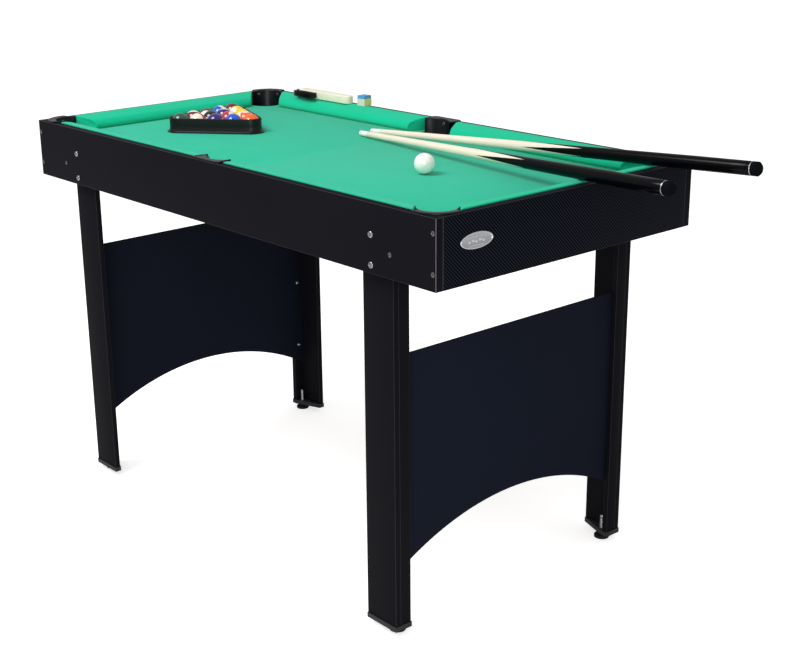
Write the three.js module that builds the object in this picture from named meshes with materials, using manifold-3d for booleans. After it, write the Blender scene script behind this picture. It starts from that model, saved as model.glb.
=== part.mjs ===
// A 4 ft mini pool table with its playing set, in millimetres, +Z up.
// Table frame: the floor is z = 0, X runs along the table, Y across it, and both are 0 at its middle.
import * as THREE from "three";
import { mergeVertices } from "three/addons/utils/BufferGeometryUtils.js";
import Module from "manifold-3d";

const wasm = await Module();
wasm.setup();

// ---- driving dimensions ----
const LENGTH = 1220; // over the end aprons
const WIDTH = 610; // over the side aprons
const HEIGHT = 758; // floor to the aprons' top edge
const GAP = 0.3; // between pieces that touch

const APRON = { height: 115, thickness: 15 };
const BED = { level: 733, board: 12, cloth: 1.7 };
const INNER_X = LENGTH / 2 - APRON.thickness; // inner face of an end apron
const INNER_Y = WIDTH / 2 - APRON.thickness; // inner face of a side apron
const APRON_BOTTOM = HEIGHT - APRON.height;
const CLOTH_BOTTOM = BED.level - BED.cloth;
const BOARD_TOP = CLOTH_BOTTOM - GAP;
const BOARD_BOTTOM = BOARD_TOP - BED.board;

const PLATE = { thickness: 2.7, base: HEIGHT + GAP };
const CUP = { depth: 75, floor: 3 };
const CORNER = { inset: 50, radius: 32.5, wall: 2.1, plateRadius: 48 };
const HORN = { tip: [-24, 22], root: -10, rim: -7 }; // of a corner plate, about the cup's centre
const MIDDLE = {
  arcRadius: 41.5, // the liner's back wall
  arcCentre: 246.7,
  halfMouth: 35,
  halfWidth: 33,
  frontCentre: 255,
  frontDepth: 27,
  wall: 1.5,
  plateHalf: 40,
  plateSetback: 2, // from the apron's outer face
  chamfer: { x: 6, y: 5 },
};

// A cushion is cut back towards its nose at every pocket: where it ends at its back and at its nose.
const CUSHION = {
  nose: 46,
  crown: 27,
  long: { middle: { back: 40.6, nose: 62 }, corner: { back: 542.7, nose: 502 } },
  end: { back: 237.7, nose: 203 },
};
const RAIL_TOP = BED.level + GAP + CUSHION.crown; // the cushions stand a little above the aprons

const LEG = { inset: 114.2, wide: 73.8, narrow: 34, thickness: 11, bottom: 13 };
const LEG_X = LENGTH / 2 - LEG.inset; // outer face of the narrow board
const LEG_Y = INNER_Y - GAP; // outer face of the wide board
const SHOE = { bottom: 10, top: 19.5, skin: 1.2, floor: 2.7 };
const FOOT = { x: 474, y: 267, padRadius: 15, padHeight: 8, stemRadius: 4, stemTop: 46, bore: 4.4 };
const PANEL = { thickness: 4, top: 503, sideBottom: 112, apex: 190 };
const BEAM = { thickness: 15.9, bottom: 655 };
const BADGE = { y: -221, z: 711, halfLength: 35, halfHeight: 13.5, thickness: 2.5 };

const BALL = { diameter: 37.7, pitch: 38.1, rows: 5 };
const RACK = { x: -371, y: -5, turn: 9, wall: 3, flange: 5.5, flangeHeight: 2, height: 30, play: 0.5 };
const CUE_BALL = { x: 276, y: -20 };
const CUE = { length: 895, tipRadius: 5.5, ferruleRadius: 5.9, jointRadius: 9.5, buttRadius: 12.2 };
const CUE_REST = BED.level + 6.1; // height of the tip's centre on the cloth
const CUES = [
  { name: "cue_front", tip: [-89, 141.5, CUE_REST], butt: [792, 12, 782.5] },
  { name: "cue_back", tip: [-91, 171.5, CUE_REST], butt: [802, 228, 782.9] },
];
const CHALK = { x: -249, y: 287.5, size: 22, turn: 5, dip: 1.8 };
const BRUSH = { x: -453, y: 267.5, length: 170, depth: 22, height: 17, bristleInset: 2 };
const BRISTLE_FAN = [[-2, 16], [-24, 12], [-30, -4], [-14, -18], [68, -20], [76, 2], [0, 2]];

// ---- materials ----
const finish = (color, roughness, metalness = 0) =>
  new THREE.MeshStandardMaterial({ color, roughness, metalness });
const LAMINATE = finish(0x15161a, 0.45);
const FOIL = finish(0x10121a, 0.4);
const CLOTH = finish(0x4fc1a3, 0.95);
const BOARD = finish(0x8a6a48, 0.8);
const PLASTIC = finish(0x111114, 0.35);
const SHOE_PLASTIC = finish(0x3a3a3d, 0.5);
const PANEL_FINISH = finish(0x151a28, 0.55);
const STEEL = finish(0xb5b7ba, 0.3, 1);
const CHALK_BLUE = finish(0x5aa0d8, 0.9);
const WOOD = finish(0xe2cfa6, 0.5);
const IVORY = finish(0xf4f1e6, 0.15);
// The racked balls row by row, from the triangle's apex back and from the near side across.
const BALL_COLOURS = [
  0xe8701c,
  0x1f5fc4, 0xe8701c,
  0x4a2a8c, 0xc7262b, 0xf2c81e,
  0xc7262b, 0x101012, 0x4a2a8c, 0xf2c81e,
  0x15714a, 0x7c1c2c, 0x15714a, 0x1f5fc4, 0x7c1c2c,
];

// ---- helpers ----
const table = new THREE.Group();

function addMesh(name, geometry, material) {
  const mesh = new THREE.Mesh(geometry, material);
  mesh.name = name;
  table.add(mesh);
  return mesh;
}

// The geometry as a manifold-3d solid, with its shared corners merged.
function solid(geometry) {
  const bare = geometry.index ? geometry.toNonIndexed() : geometry.clone();
  bare.deleteAttribute("normal");
  bare.deleteAttribute("uv");
  const merged = mergeVertices(bare, 1e-4);
  return new wasm.Manifold(
    new wasm.Mesh({
      numProp: 3,
      vertProperties: merged.attributes.position.array,
      triVerts: new Uint32Array(merged.index.array),
    }),
  );
}

function geometryOf(manifold) {
  const mesh = manifold.getMesh();
  const geometry = new THREE.BufferGeometry();
  geometry.setAttribute("position", new THREE.BufferAttribute(mesh.vertProperties, 3));
  geometry.setIndex(new THREE.BufferAttribute(mesh.triVerts, 1));
  geometry.computeVertexNormals();
  return geometry;
}

// A flat outline raised from z0 to z1.
function prism(shape, z0, z1, curveSegments = 12) {
  const depth = z1 - z0;
  const geometry = new THREE.ExtrudeGeometry(shape, { depth, bevelEnabled: false, curveSegments });
  return geometry.translate(0, 0, z0);
}

function block(x0, x1, y0, y1, z0, z1) {
  const geometry = new THREE.BoxGeometry(x1 - x0, y1 - y0, z1 - z0);
  return geometry.translate((x0 + x1) / 2, (y0 + y1) / 2, (z0 + z1) / 2);
}

function disc(x, y, radius, z0, z1, segments = 24) {
  const geometry = new THREE.CylinderGeometry(radius, radius, z1 - z0, segments);
  return geometry.rotateX(Math.PI / 2).translate(x, y, (z0 + z1) / 2);
}

const outline = (points) => new THREE.Shape(points.map(([x, y]) => new THREE.Vector2(x, y)));

// The four quarters of the table: each name says its end and its side.
const QUARTERS = [
  { name: "right_near", sx: 1, sy: -1 },
  { name: "right_far", sx: 1, sy: 1 },
  { name: "left_near", sx: -1, sy: -1 },
  { name: "left_far", sx: -1, sy: 1 },
];

// A piece drawn in the right far quarter, mirrored into each of the four.
function inEachQuarter(piece, geometry, material) {
  for (const { name, sx, sy } of QUARTERS) {
    addMesh(`${piece}_${name}`, geometry, material).scale.set(sx, sy, 1);
  }
}

// ---- box ----
function makeAprons() {
  const side = block(-LENGTH / 2, LENGTH / 2, INNER_Y, WIDTH / 2, APRON_BOTTOM, HEIGHT);
  addMesh("side_apron_far", side, LAMINATE);
  addMesh("side_apron_near", side, LAMINATE).scale.y = -1;
  const halfWidth = INNER_Y - GAP;
  const end = block(INNER_X, LENGTH / 2, -halfWidth, halfWidth, APRON_BOTTOM, HEIGHT);
  addMesh("end_apron_right", end, FOIL);
  addMesh("end_apron_left", end, FOIL).scale.x = -1;
}

function makeBadge() {
  const oval = new THREE.Shape();
  oval.absellipse(0, 0, BADGE.halfLength, BADGE.halfHeight, 0, 2 * Math.PI);
  const badge = addMesh("badge", prism(oval, 0, BADGE.thickness, 14), STEEL);
  badge.rotation.set(Math.PI / 2, Math.PI / 2, 0);
  badge.position.set(LENGTH / 2 + GAP, BADGE.y, BADGE.z);
}

// ---- pockets ----
const CORNER_X = LENGTH / 2 - CORNER.inset;
const CORNER_Y = WIDTH / 2 - CORNER.inset;
const CUP_BOTTOM = BED.level - CUP.depth;
const CUP_RIM = BOARD_TOP - GAP;
const PLATE_TOP = PLATE.base + PLATE.thickness;
const MIDDLE_TIP_Y = MIDDLE.arcCentre + Math.sqrt(MIDDLE.arcRadius ** 2 - MIDDLE.halfMouth ** 2);

// The top plate of a corner pocket, drawn about the cup's centre with the corner towards +X +Y.
// Two horns point into the table; the outer edge is an arc about the same centre.
function cornerPlate() {
  const [tipX, tipY] = HORN.tip;
  const [rootX, rootY] = [HORN.root, CORNER.inset - APRON.thickness]; // on the apron's inner face
  const [rimX, rimY] = [HORN.rim, CORNER.plateRadius];
  const far = 2 * CORNER.plateRadius;
  const shape = outline([
    [tipX, tipY],
    [rootX, rootY],
    [rimX, rimY],
    [rimX, far],
    [far, far],
    [far, rimX],
    [rimY, rimX],
    [rootY, rootX],
    [tipY, tipX],
  ]);
  const rim = disc(0, 0, CORNER.plateRadius, PLATE.base, PLATE_TOP, 48);
  return solid(prism(shape, PLATE.base, PLATE_TOP)).intersect(solid(rim));
}

// The liner of a corner pocket: a closed cup below the bed, whose wall runs on up to the plate
// on the corner's side only, so that the mouth is open to the table.
function cornerPocket() {
  const outer = CORNER.radius + CORNER.wall;
  const wall = solid(disc(0, 0, outer, CUP_BOTTOM, PLATE.base + 1, 36));
  const bore = solid(disc(0, 0, CORNER.radius, CUP_BOTTOM + CUP.floor, HEIGHT + 20, 36));
  const reach = 3 * outer;
  const mouth = block(-reach, 0, -reach, reach, CUP_RIM, HEIGHT + 20).rotateZ(Math.PI / 4);
  return cornerPlate().add(wall).subtract(bore).subtract(solid(mouth));
}

// The mouth's outline at a middle pocket, grown outwards by a margin: an arc at the back,
// straight sides and a rounded front.
function middleOutline(margin) {
  const radius = MIDDLE.arcRadius + margin;
  const side = Math.acos(MIDDLE.halfMouth / MIDDLE.arcRadius);
  const shape = new THREE.Shape();
  shape.absarc(0, MIDDLE.arcCentre, radius, side, Math.PI - side, false);
  const across = MIDDLE.halfWidth + margin;
  shape.absellipse(0, MIDDLE.frontCentre, across, MIDDLE.frontDepth + margin, Math.PI, 2 * Math.PI);
  return shape;
}

// The top plate of a middle pocket, before the mouth is cut out of it.
function middlePlate() {
  const { plateHalf, chamfer } = MIDDLE;
  const edge = WIDTH / 2 - MIDDLE.plateSetback;
  const shape = outline([
    [-MIDDLE.halfMouth, MIDDLE_TIP_Y],
    [-plateHalf, INNER_Y],
    [-plateHalf, edge - chamfer.y],
    [chamfer.x - plateHalf, edge],
    [plateHalf - chamfer.x, edge],
    [plateHalf, edge - chamfer.y],
    [plateHalf, INNER_Y],
    [MIDDLE.halfMouth, MIDDLE_TIP_Y],
  ]);
  return solid(prism(shape, PLATE.base, PLATE_TOP));
}

function middlePocket() {
  const reach = 2 * MIDDLE.arcRadius;
  const wall = solid(prism(middleOutline(MIDDLE.wall), CUP_BOTTOM, PLATE.base + 1, 10));
  const bore = solid(prism(middleOutline(0), CUP_BOTTOM + CUP.floor, HEIGHT + 20, 10));
  const mouth = solid(block(-reach, reach, 0, MIDDLE_TIP_Y, CUP_RIM, HEIGHT + 20));
  return middlePlate().add(wall).subtract(bore).subtract(mouth);
}

function makePockets() {
  const corner = geometryOf(cornerPocket()).translate(CORNER_X, CORNER_Y, 0);
  inEachQuarter("pocket", corner, PLASTIC);
  const middle = geometryOf(middlePocket());
  addMesh("pocket_middle_far", middle, PLASTIC);
  addMesh("pocket_middle_near", middle, PLASTIC).scale.y = -1;
}

// ---- bed ----
// A sheet that fills the box between the aprons, cut out round the six pockets.
function bedSheet(z0, z1) {
  const x = INNER_X - GAP;
  const y = INNER_Y - GAP;
  let sheet = solid(block(-x, x, -y, y, z0, z1));
  const low = z0 - 1;
  const high = z1 + 1;
  const hole = CORNER.radius + CORNER.wall + GAP;
  const notch = MIDDLE.halfMouth + MIDDLE.wall + 1;
  for (const sy of [-1, 1]) {
    for (const sx of [-1, 1]) {
      const cx = sx * CORNER_X;
      const cy = sy * CORNER_Y;
      const cut = block(0, 2 * hole, 0, 2 * hole, low, high).translate(CORNER_X, CORNER_Y, 0);
      sheet = sheet.subtract(solid(disc(cx, cy, hole, low, high, 36)));
      sheet = sheet.subtract(solid(cut).scale([sx, sy, 1]));
    }
    const mouth = solid(prism(middleOutline(MIDDLE.wall + GAP), low, high, 10));
    const back = solid(block(-notch, notch, MIDDLE.frontCentre, WIDTH, low, high));
    sheet = sheet.subtract(mouth.add(back).scale([1, sy, 1]));
  }
  return geometryOf(sheet);
}

function makeBed() {
  addMesh("bed_board", bedSheet(BOARD_BOTTOM, BOARD_TOP), BOARD);
  addMesh("bed_cloth", bedSheet(CLOTH_BOTTOM, BED.level), CLOTH);
}

// ---- cushions ----
// The cushion's section: s is measured from the apron's inner face towards the table's middle,
// z from the floor. A flat top slopes down to a steep nose, which is undercut at its foot.
function cushionSection() {
  const foot = BED.level + GAP;
  return [
    [GAP, foot],
    [GAP, RAIL_TOP - 1.5],
    [2, RAIL_TOP],
    [13, RAIL_TOP],
    [27, foot + 23],
    [38, foot + 19],
    [43.5, foot + 13],
    [CUSHION.nose, foot + 8],
    [CUSHION.nose, foot + 4],
    [42, foot],
  ];
}

// A cushion along X from its back ends x0 and x1, with each end slanting back by its own amount.
function cushion(x0, x1, slant0, slant1) {
  const section = cushionSection();
  const count = section.length;
  const atNose = (s) => s / CUSHION.nose;
  const points = [];
  for (const [s, z] of section) points.push(x0 + slant0 * atNose(s), s, z);
  for (const [s, z] of section) points.push(x1 - slant1 * atNose(s), s, z);
  const faces = [];
  for (let i = 0; i < count; i++) {
    const j = (i + 1) % count;
    faces.push(i, count + i, j, j, count + i, count + j);
  }
  const contour = section.map(([s, z]) => new THREE.Vector2(s, z));
  for (const [a, b, c] of THREE.ShapeUtils.triangulateShape(contour, [])) {
    faces.push(a, c, b, count + a, count + b, count + c);
  }
  const geometry = new THREE.BufferGeometry();
  geometry.setAttribute("position", new THREE.Float32BufferAttribute(points, 3));
  geometry.setIndex(faces);
  return geometry;
}

function makeCushions() {
  const { middle, corner } = CUSHION.long;
  const long = cushion(middle.back, corner.back, middle.nose - middle.back, corner.back - corner.nose);
  for (const { name, sx, sy } of QUARTERS) {
    const mesh = addMesh(`cushion_${name}`, long, CLOTH);
    mesh.scale.set(sx, -sy, 1);
    mesh.position.y = sy * INNER_Y;
  }
  const { back, nose } = CUSHION.end;
  const short = cushion(-back, back, back - nose, back - nose);
  for (const [name, turn] of [["cushion_end_right", 1], ["cushion_end_left", -1]]) {
    const mesh = addMesh(name, short, CLOTH);
    mesh.rotation.z = (turn * Math.PI) / 2;
    mesh.position.x = turn * INNER_X;
  }
}

// ---- legs ----
// The L of a leg's two boards, in the right far quarter.
function legOutline(margin) {
  const x = LEG_X + margin;
  const y = LEG_Y + margin;
  const inner = LEG.thickness + 2 * margin;
  return outline([
    [x - LEG.wide - 2 * margin, y],
    [x - LEG.wide - 2 * margin, y - inner],
    [x - inner, y - inner],
    [x - inner, y - LEG.narrow - 2 * margin],
    [x, y - LEG.narrow - 2 * margin],
    [x, y],
  ]);
}

function shoe() {
  const x = LEG_X + SHOE.skin;
  const y = LEG_Y + SHOE.skin - GAP / 2;
  const farX = LEG_X - LEG.wide - SHOE.skin;
  const farY = LEG_Y - LEG.narrow - SHOE.skin;
  const inner = LEG.thickness + SHOE.skin;
  const triangle = outline([
    [x, y],
    [farX, y],
    [farX, LEG_Y - inner],
    [LEG_X - inner, farY],
    [x, farY],
  ]);
  const recess = prism(legOutline(GAP), SHOE.bottom + SHOE.floor, SHOE.top + 1);
  const bore = disc(FOOT.x, FOOT.y, FOOT.bore, 0, SHOE.top + 1, 16);
  return solid(prism(triangle, SHOE.bottom, SHOE.top)).subtract(solid(recess)).subtract(solid(bore));
}

function makeLegs() {
  inEachQuarter("leg", prism(legOutline(0), LEG.bottom, BOARD_BOTTOM - GAP), LAMINATE);
  inEachQuarter("shoe", geometryOf(shoe()), SHOE_PLASTIC);
  const stem = disc(FOOT.x, FOOT.y, FOOT.stemRadius, FOOT.padHeight + GAP, FOOT.stemTop, 12);
  inEachQuarter("foot_stem", stem, STEEL);
  inEachQuarter("foot_pad", disc(FOOT.x, FOOT.y, FOOT.padRadius, 0, FOOT.padHeight, 20), PLASTIC);
}

// The end panel: straight top and sides, and a bottom edge that is one arc.
function panelOutline() {
  const half = LEG_Y - LEG.thickness - GAP;
  const rise = PANEL.apex - PANEL.sideBottom;
  const radius = (half * half + rise * rise) / (2 * rise);
  const spread = Math.asin(half / radius);
  const shape = new THREE.Shape();
  shape.moveTo(half, PANEL.top);
  shape.lineTo(-half, PANEL.top);
  shape.absarc(0, PANEL.apex - radius, radius, Math.PI / 2 + spread, Math.PI / 2 - spread, true);
  return shape;
}

function makePanelsAndBeams() {
  const face = LEG_X - LEG.thickness - GAP;
  const panel = prism(panelOutline(), 0, PANEL.thickness, 24).rotateX(Math.PI / 2);
  panel.rotateZ(Math.PI / 2).translate(face - PANEL.thickness, 0, 0);
  const start = LEG_X + SHOE.skin;
  const y = INNER_Y - GAP;
  const beam = block(start, start + BEAM.thickness, -y, y, BEAM.bottom, BOARD_BOTTOM - GAP);
  for (const [end, sx] of [["right", 1], ["left", -1]]) {
    addMesh(`end_panel_${end}`, panel, PANEL_FINISH).scale.x = sx;
    addMesh(`cross_beam_${end}`, beam, BOARD).scale.x = sx;
  }
}

// ---- playing set ----
// The places of the racked balls about the triangle's middle, one corner towards +X.
function rackPlaces() {
  const places = [];
  const rowStep = (BALL.pitch * Math.sqrt(3)) / 2;
  const apex = (rowStep * (BALL.rows - 1) * 2) / 3;
  for (let row = 0; row < BALL.rows; row++) {
    for (let i = 0; i <= row; i++) places.push([apex - row * rowStep, (i - row / 2) * BALL.pitch]);
  }
  return places;
}

// A rounded triangle: the corner balls' places grown by a radius.
function rackOutline(radius) {
  const corner = (BALL.pitch * (BALL.rows - 1)) / Math.sqrt(3);
  const shape = new THREE.Shape();
  for (let k = 0; k < 3; k++) {
    const mid = (k * 2 * Math.PI) / 3;
    const x = corner * Math.cos(mid);
    const y = corner * Math.sin(mid);
    shape.absarc(x, y, radius, mid - Math.PI / 3, mid + Math.PI / 3, false);
  }
  return shape;
}

function rackFrame() {
  const base = BED.level + GAP;
  const inside = BALL.diameter / 2 + RACK.play;
  const outside = inside + RACK.wall;
  const foot = prism(rackOutline(outside + RACK.flange), base, base + RACK.flangeHeight, 5);
  const wall = prism(rackOutline(outside), base, base + RACK.height, 5);
  const room = prism(rackOutline(inside), base - 1, base + RACK.height + 1, 5);
  return solid(foot).add(solid(wall)).subtract(solid(room));
}

function makeRack() {
  const turn = THREE.MathUtils.degToRad(RACK.turn);
  const rack = addMesh("ball_rack", geometryOf(rackFrame()), PLASTIC);
  rack.rotation.z = turn;
  rack.position.set(RACK.x, RACK.y, 0);
  const radius = BALL.diameter / 2;
  rackPlaces().forEach(([x, y], i) => {
    const ball = new THREE.SphereGeometry(radius, 12, 8).rotateX(Math.PI / 2);
    const mesh = addMesh(`ball_${i + 1}`, ball, finish(BALL_COLOURS[i], 0.1));
    const place = new THREE.Vector2(x, y).rotateAround(new THREE.Vector2(), turn);
    mesh.position.set(RACK.x + place.x, RACK.y + place.y, BED.level + GAP + radius);
  });
}

function makeCueBall() {
  const radius = BALL.diameter / 2;
  const ball = new THREE.SphereGeometry(radius, 16, 10).rotateX(Math.PI / 2);
  addMesh("cue_ball", ball, IVORY).position.set(CUE_BALL.x, CUE_BALL.y, BED.level + GAP + radius);
}

// The cue's profile: radius and distance from the tip.
function cueProfile() {
  const { length, tipRadius, ferruleRadius, jointRadius, buttRadius } = CUE;
  const [domed, ferruleEnd, butt, bumper, rounded] = [3, 28, 120, 14, 2];
  return [
    [0, 0],
    [tipRadius - 2, 0],
    [tipRadius, domed],
    [ferruleRadius, ferruleEnd],
    [jointRadius, 0.5 * length],
    [buttRadius, length - butt],
    [buttRadius, length - bumper],
    [buttRadius - 1.5, length - rounded],
    [buttRadius - 4, length],
    [0, length],
  ].map(([r, along]) => new THREE.Vector2(r, along));
}

function makeCues() {
  const geometry = new THREE.LatheGeometry(cueProfile(), 12);
  for (const { name, tip, butt } of CUES) {
    const mesh = addMesh(name, geometry, WOOD);
    const start = new THREE.Vector3(...tip);
    const along = new THREE.Vector3(...butt).sub(start).normalize();
    mesh.position.copy(start);
    mesh.quaternion.setFromUnitVectors(new THREE.Vector3(0, 1, 0), along);
  }
}

function makeChalk() {
  const { size, dip } = CHALK;
  const cube = solid(new THREE.BoxGeometry(size, size, size));
  const hollow = new THREE.SphereGeometry(size, 16, 12).translate(0, 0, 1.5 * size - dip);
  const chalk = addMesh("chalk", geometryOf(cube.subtract(solid(hollow))), CHALK_BLUE);
  chalk.rotation.z = THREE.MathUtils.degToRad(CHALK.turn);
  chalk.position.set(CHALK.x, CHALK.y, RAIL_TOP + GAP + size / 2);
}

// The brush lies on its side on the far rail: a straight wooden back with a round handle end,
// and bristles that stand out towards the table and fan round its left end.
function makeBrush() {
  const { length, depth, height } = BRUSH;
  const back = new THREE.Shape();
  back.moveTo(0, 0);
  back.lineTo(length - depth / 2, 0);
  back.absarc(length - depth / 2, depth / 2, depth / 2, -Math.PI / 2, Math.PI / 2, false);
  back.lineTo(0, depth);
  const inset = BRUSH.bristleInset;
  const fan = prism(outline(BRISTLE_FAN), inset, height - inset);
  const brush = solid(prism(back, 0, height, 6)).add(solid(fan));
  addMesh("brush", geometryOf(brush), WOOD).position.set(BRUSH.x, BRUSH.y, RAIL_TOP + GAP);
}

makeAprons();
makeBadge();
makePockets();
makeBed();
makeCushions();
makeLegs();
makePanelsAndBeams();
makeRack();
makeCueBall();
makeCues();
makeChalk();
makeBrush();

// The origin is on the floor, under the middle of the whole set's bounding box.
const set = new THREE.Group();
set.add(table);
const middle = new THREE.Box3().setFromObject(table, true).getCenter(new THREE.Vector3());
table.position.set(-middle.x, -middle.y, 0);

export default set;
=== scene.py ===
# %% [markdown]
# # A mini pool table with its playing set
# The real thing is a shallow box of laminated board on four bolted legs. Its bed and its cushions are
# covered in green cloth, six plastic cups hang in the bed, and the set that it is sold with lies on
# top: two cues, fifteen racked balls with their triangle, a cue ball, chalk and a table brush.
# The measured model already holds every size and place, so nothing here is fitted by eye. Each cell
# reads the box of a measured piece and builds the finished piece inside it.

# %% Load the measured model and keep its size
import math

import bmesh
import bpy
from mathutils import Matrix, Vector


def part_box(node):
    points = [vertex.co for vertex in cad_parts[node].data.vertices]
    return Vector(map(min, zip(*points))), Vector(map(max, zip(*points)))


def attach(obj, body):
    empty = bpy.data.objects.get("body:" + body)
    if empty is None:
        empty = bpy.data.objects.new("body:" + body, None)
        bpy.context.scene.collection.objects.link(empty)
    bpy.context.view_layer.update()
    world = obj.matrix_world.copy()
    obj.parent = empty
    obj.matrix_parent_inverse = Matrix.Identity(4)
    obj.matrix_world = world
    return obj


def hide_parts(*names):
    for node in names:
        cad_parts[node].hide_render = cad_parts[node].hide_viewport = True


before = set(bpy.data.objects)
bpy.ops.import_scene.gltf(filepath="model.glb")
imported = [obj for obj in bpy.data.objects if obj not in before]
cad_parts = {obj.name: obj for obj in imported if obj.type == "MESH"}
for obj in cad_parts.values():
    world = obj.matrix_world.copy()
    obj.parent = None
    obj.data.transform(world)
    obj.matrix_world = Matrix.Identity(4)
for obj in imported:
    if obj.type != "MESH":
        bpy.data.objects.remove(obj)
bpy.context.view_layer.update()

MM = 0.001
side = {s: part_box(f"side_apron_{s}") for s in ("near", "far")}
end = {s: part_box(f"end_apron_{s}") for s in ("left", "right")}
MID_X = (end["left"][0].x + end["right"][1].x) / 2
HALF_LENGTH = end["right"][1].x - MID_X
HALF_WIDTH = side["far"][1].y
INNER_X = end["right"][0].x - MID_X
INNER_Y = side["far"][0].y
RAIL_TOP = side["far"][1].z
RAIL_FOOT = side["far"][0].z
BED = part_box("bed_cloth")[1].z
QUARTERS = {"right_near": (1, -1), "right_far": (1, 1), "left_near": (-1, -1), "left_far": (-1, 1)}
print(f"table {2 * HALF_LENGTH:.3f} x {2 * HALF_WIDTH:.3f} m, bed at {BED:.3f} m")

# %% [markdown]
# ## The camera
# A product picture of a table is taken from a few metres away with a short telephoto lens, standing,
# so the camera looks down a little. The camera could be aimed with a tracking constraint, but three
# plain angles say the same thing and stay where they are put.

# %% Place the camera
YAW, PITCH, ROLL = 50.212, 18.359, -0.999  # degrees: round the table, downwards, tilt
LENS = 64.17  # millimetres, on a sensor 36 mm wide
SHIFT_X, SHIFT_Y = 0.0554, 0.0105  # shares of the frame's width
STAND = (2.11457, -1.71566, 1.25951)  # metres from the table's own middle, and above the floor


def camera_axes(yaw, pitch, roll):
    forward = Vector((-math.sin(yaw) * math.cos(pitch), math.cos(yaw) * math.cos(pitch), -math.sin(pitch)))
    right = Vector((math.cos(yaw), math.sin(yaw), 0))
    up = right.cross(forward)
    tilted_right = right * math.cos(roll) + up * math.sin(roll)
    tilted_up = up * math.cos(roll) - right * math.sin(roll)
    return Matrix((tilted_right, tilted_up, -forward)).transposed()


camera = bpy.data.objects.new("camera", bpy.data.cameras.new("camera"))
camera.data.lens = LENS
camera.data.shift_x = SHIFT_X
camera.data.shift_y = SHIFT_Y
camera.data.dof.use_dof = False
camera.matrix_world = camera_axes(*map(math.radians, (YAW, PITCH, ROLL))).to_4x4()
camera.location = (MID_X + STAND[0], STAND[1], STAND[2])
bpy.context.collection.objects.link(camera)
bpy.context.scene.camera = camera
print("camera at", [round(v, 3) for v in camera.location])

# %% [markdown]
# ## Tools for making pieces
# Every piece is a bmesh that is turned into an object at the origin, so its place is in its mesh, as
# in the measured model. One function does that for all of them: it gives the piece its materials,
# shades it smooth up to a chosen angle, makes it ride on its body and hides the plain solid that it
# stands for.

# %% A function that turns a bmesh into a finished piece
def piece(name, bm, materials, body="root", nodes=(), smooth=32):
    bm.normal_update()
    mesh = bpy.data.meshes.new(name)
    bm.to_mesh(mesh)
    bm.free()
    for material in materials:
        mesh.materials.append(material)
    mesh.polygons.foreach_set("use_smooth", [True] * len(mesh.polygons))
    mesh.set_sharp_from_angle(angle=math.radians(smooth))
    made = bpy.data.objects.new(name, mesh)
    bpy.context.collection.objects.link(made)
    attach(made, body)
    if nodes:
        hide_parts(*nodes)
    return made


def table_place(sx=1, sy=1):
    """From the table's own middle, in the right far quarter, to a quarter of the real table."""
    return Matrix.Translation((MID_X, 0, 0)) @ Matrix.Diagonal((sx, sy, 1, 1))


def put(bm, matrix):
    """Moves a bmesh, and turns its faces the right way out again if the move mirrors it."""
    bmesh.ops.transform(bm, matrix=matrix, verts=bm.verts)
    if matrix.determinant() < 0:
        bmesh.ops.reverse_faces(bm, faces=bm.faces)
    return bm


# %% [markdown]
# Boards are everywhere in this table: aprons, legs, panels, beams. A real board is never knife-sharp,
# because its foil or edge band turns over the corner, and that turn is what catches the light. So a
# board is a box or an outline with its sharp edges bevelled by a fraction of a millimetre, and the
# bevel gets a second material, a lighter one that paints a highlight along the edge.

# %% Boards with broken edges
WELD = 0.01 * MM  # corners closer than this are one corner


def break_edges(bm, width, segments=2, sharper_than=30, highlight_bevels=True):
    bm.normal_update()
    edges = [e for e in bm.edges if e.calc_face_angle(0) > math.radians(sharper_than)]
    made = bmesh.ops.bevel(
        bm, geom=edges, offset=width, segments=segments, profile=0.5, affect="EDGES", clamp_overlap=True
    )
    # The bevels take the second material, which on the laminate boards is a painted highlight.
    if highlight_bevels:
        for face in made["faces"]:
            face.material_index = 1
    return bm


def add_box(bm, low, high):
    size = Vector(high) - Vector(low)
    place = Matrix.Translation((Vector(low) + Vector(high)) / 2) @ Matrix.Diagonal((*size, 1))
    bmesh.ops.create_cube(bm, size=1, matrix=place)


def add_prism(bm, outline, z0, z1):
    """A flat outline, counter-clockwise, raised from z0 to z1."""
    foot = [bm.verts.new((x, y, z0)) for x, y in outline]
    top = [bm.verts.new((x, y, z1)) for x, y in outline]
    bm.faces.new(reversed(foot))
    bm.faces.new(top)
    for i in range(len(outline)):
        j = (i + 1) % len(outline)
        bm.faces.new((foot[i], foot[j], top[j], top[i]))


def arc(centre, radius, start, stop, steps):
    """Points on an arc, angles in degrees."""
    turns = [math.radians(start + (stop - start) * i / steps) for i in range(steps + 1)]
    return [(centre[0] + radius * math.cos(a), centre[1] + radius * math.sin(a)) for a in turns]


def copy_of_node(node):
    """The measured solid as one closed bmesh, its loose triangles joined into flat faces."""
    bm = bmesh.new()
    bm.from_mesh(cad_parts[node].data)
    bmesh.ops.remove_doubles(bm, verts=bm.verts, dist=WELD)
    bmesh.ops.dissolve_limit(
        bm, angle_limit=math.radians(1), verts=bm.verts, edges=bm.edges, delimit=set()
    )
    return bm


# %% [markdown]
# Turned pieces, such as balls, cues, feet and bolts, share one more tool. It spins a profile about an
# axis and writes a UV map as it goes: u once round, v the distance along the profile in metres. The
# finishes that follow the turning, such as a cue's splices, read that map.

# %% Turned pieces
ON_AXIS = 1e-7  # a ring of a smaller radius is a single point


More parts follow.
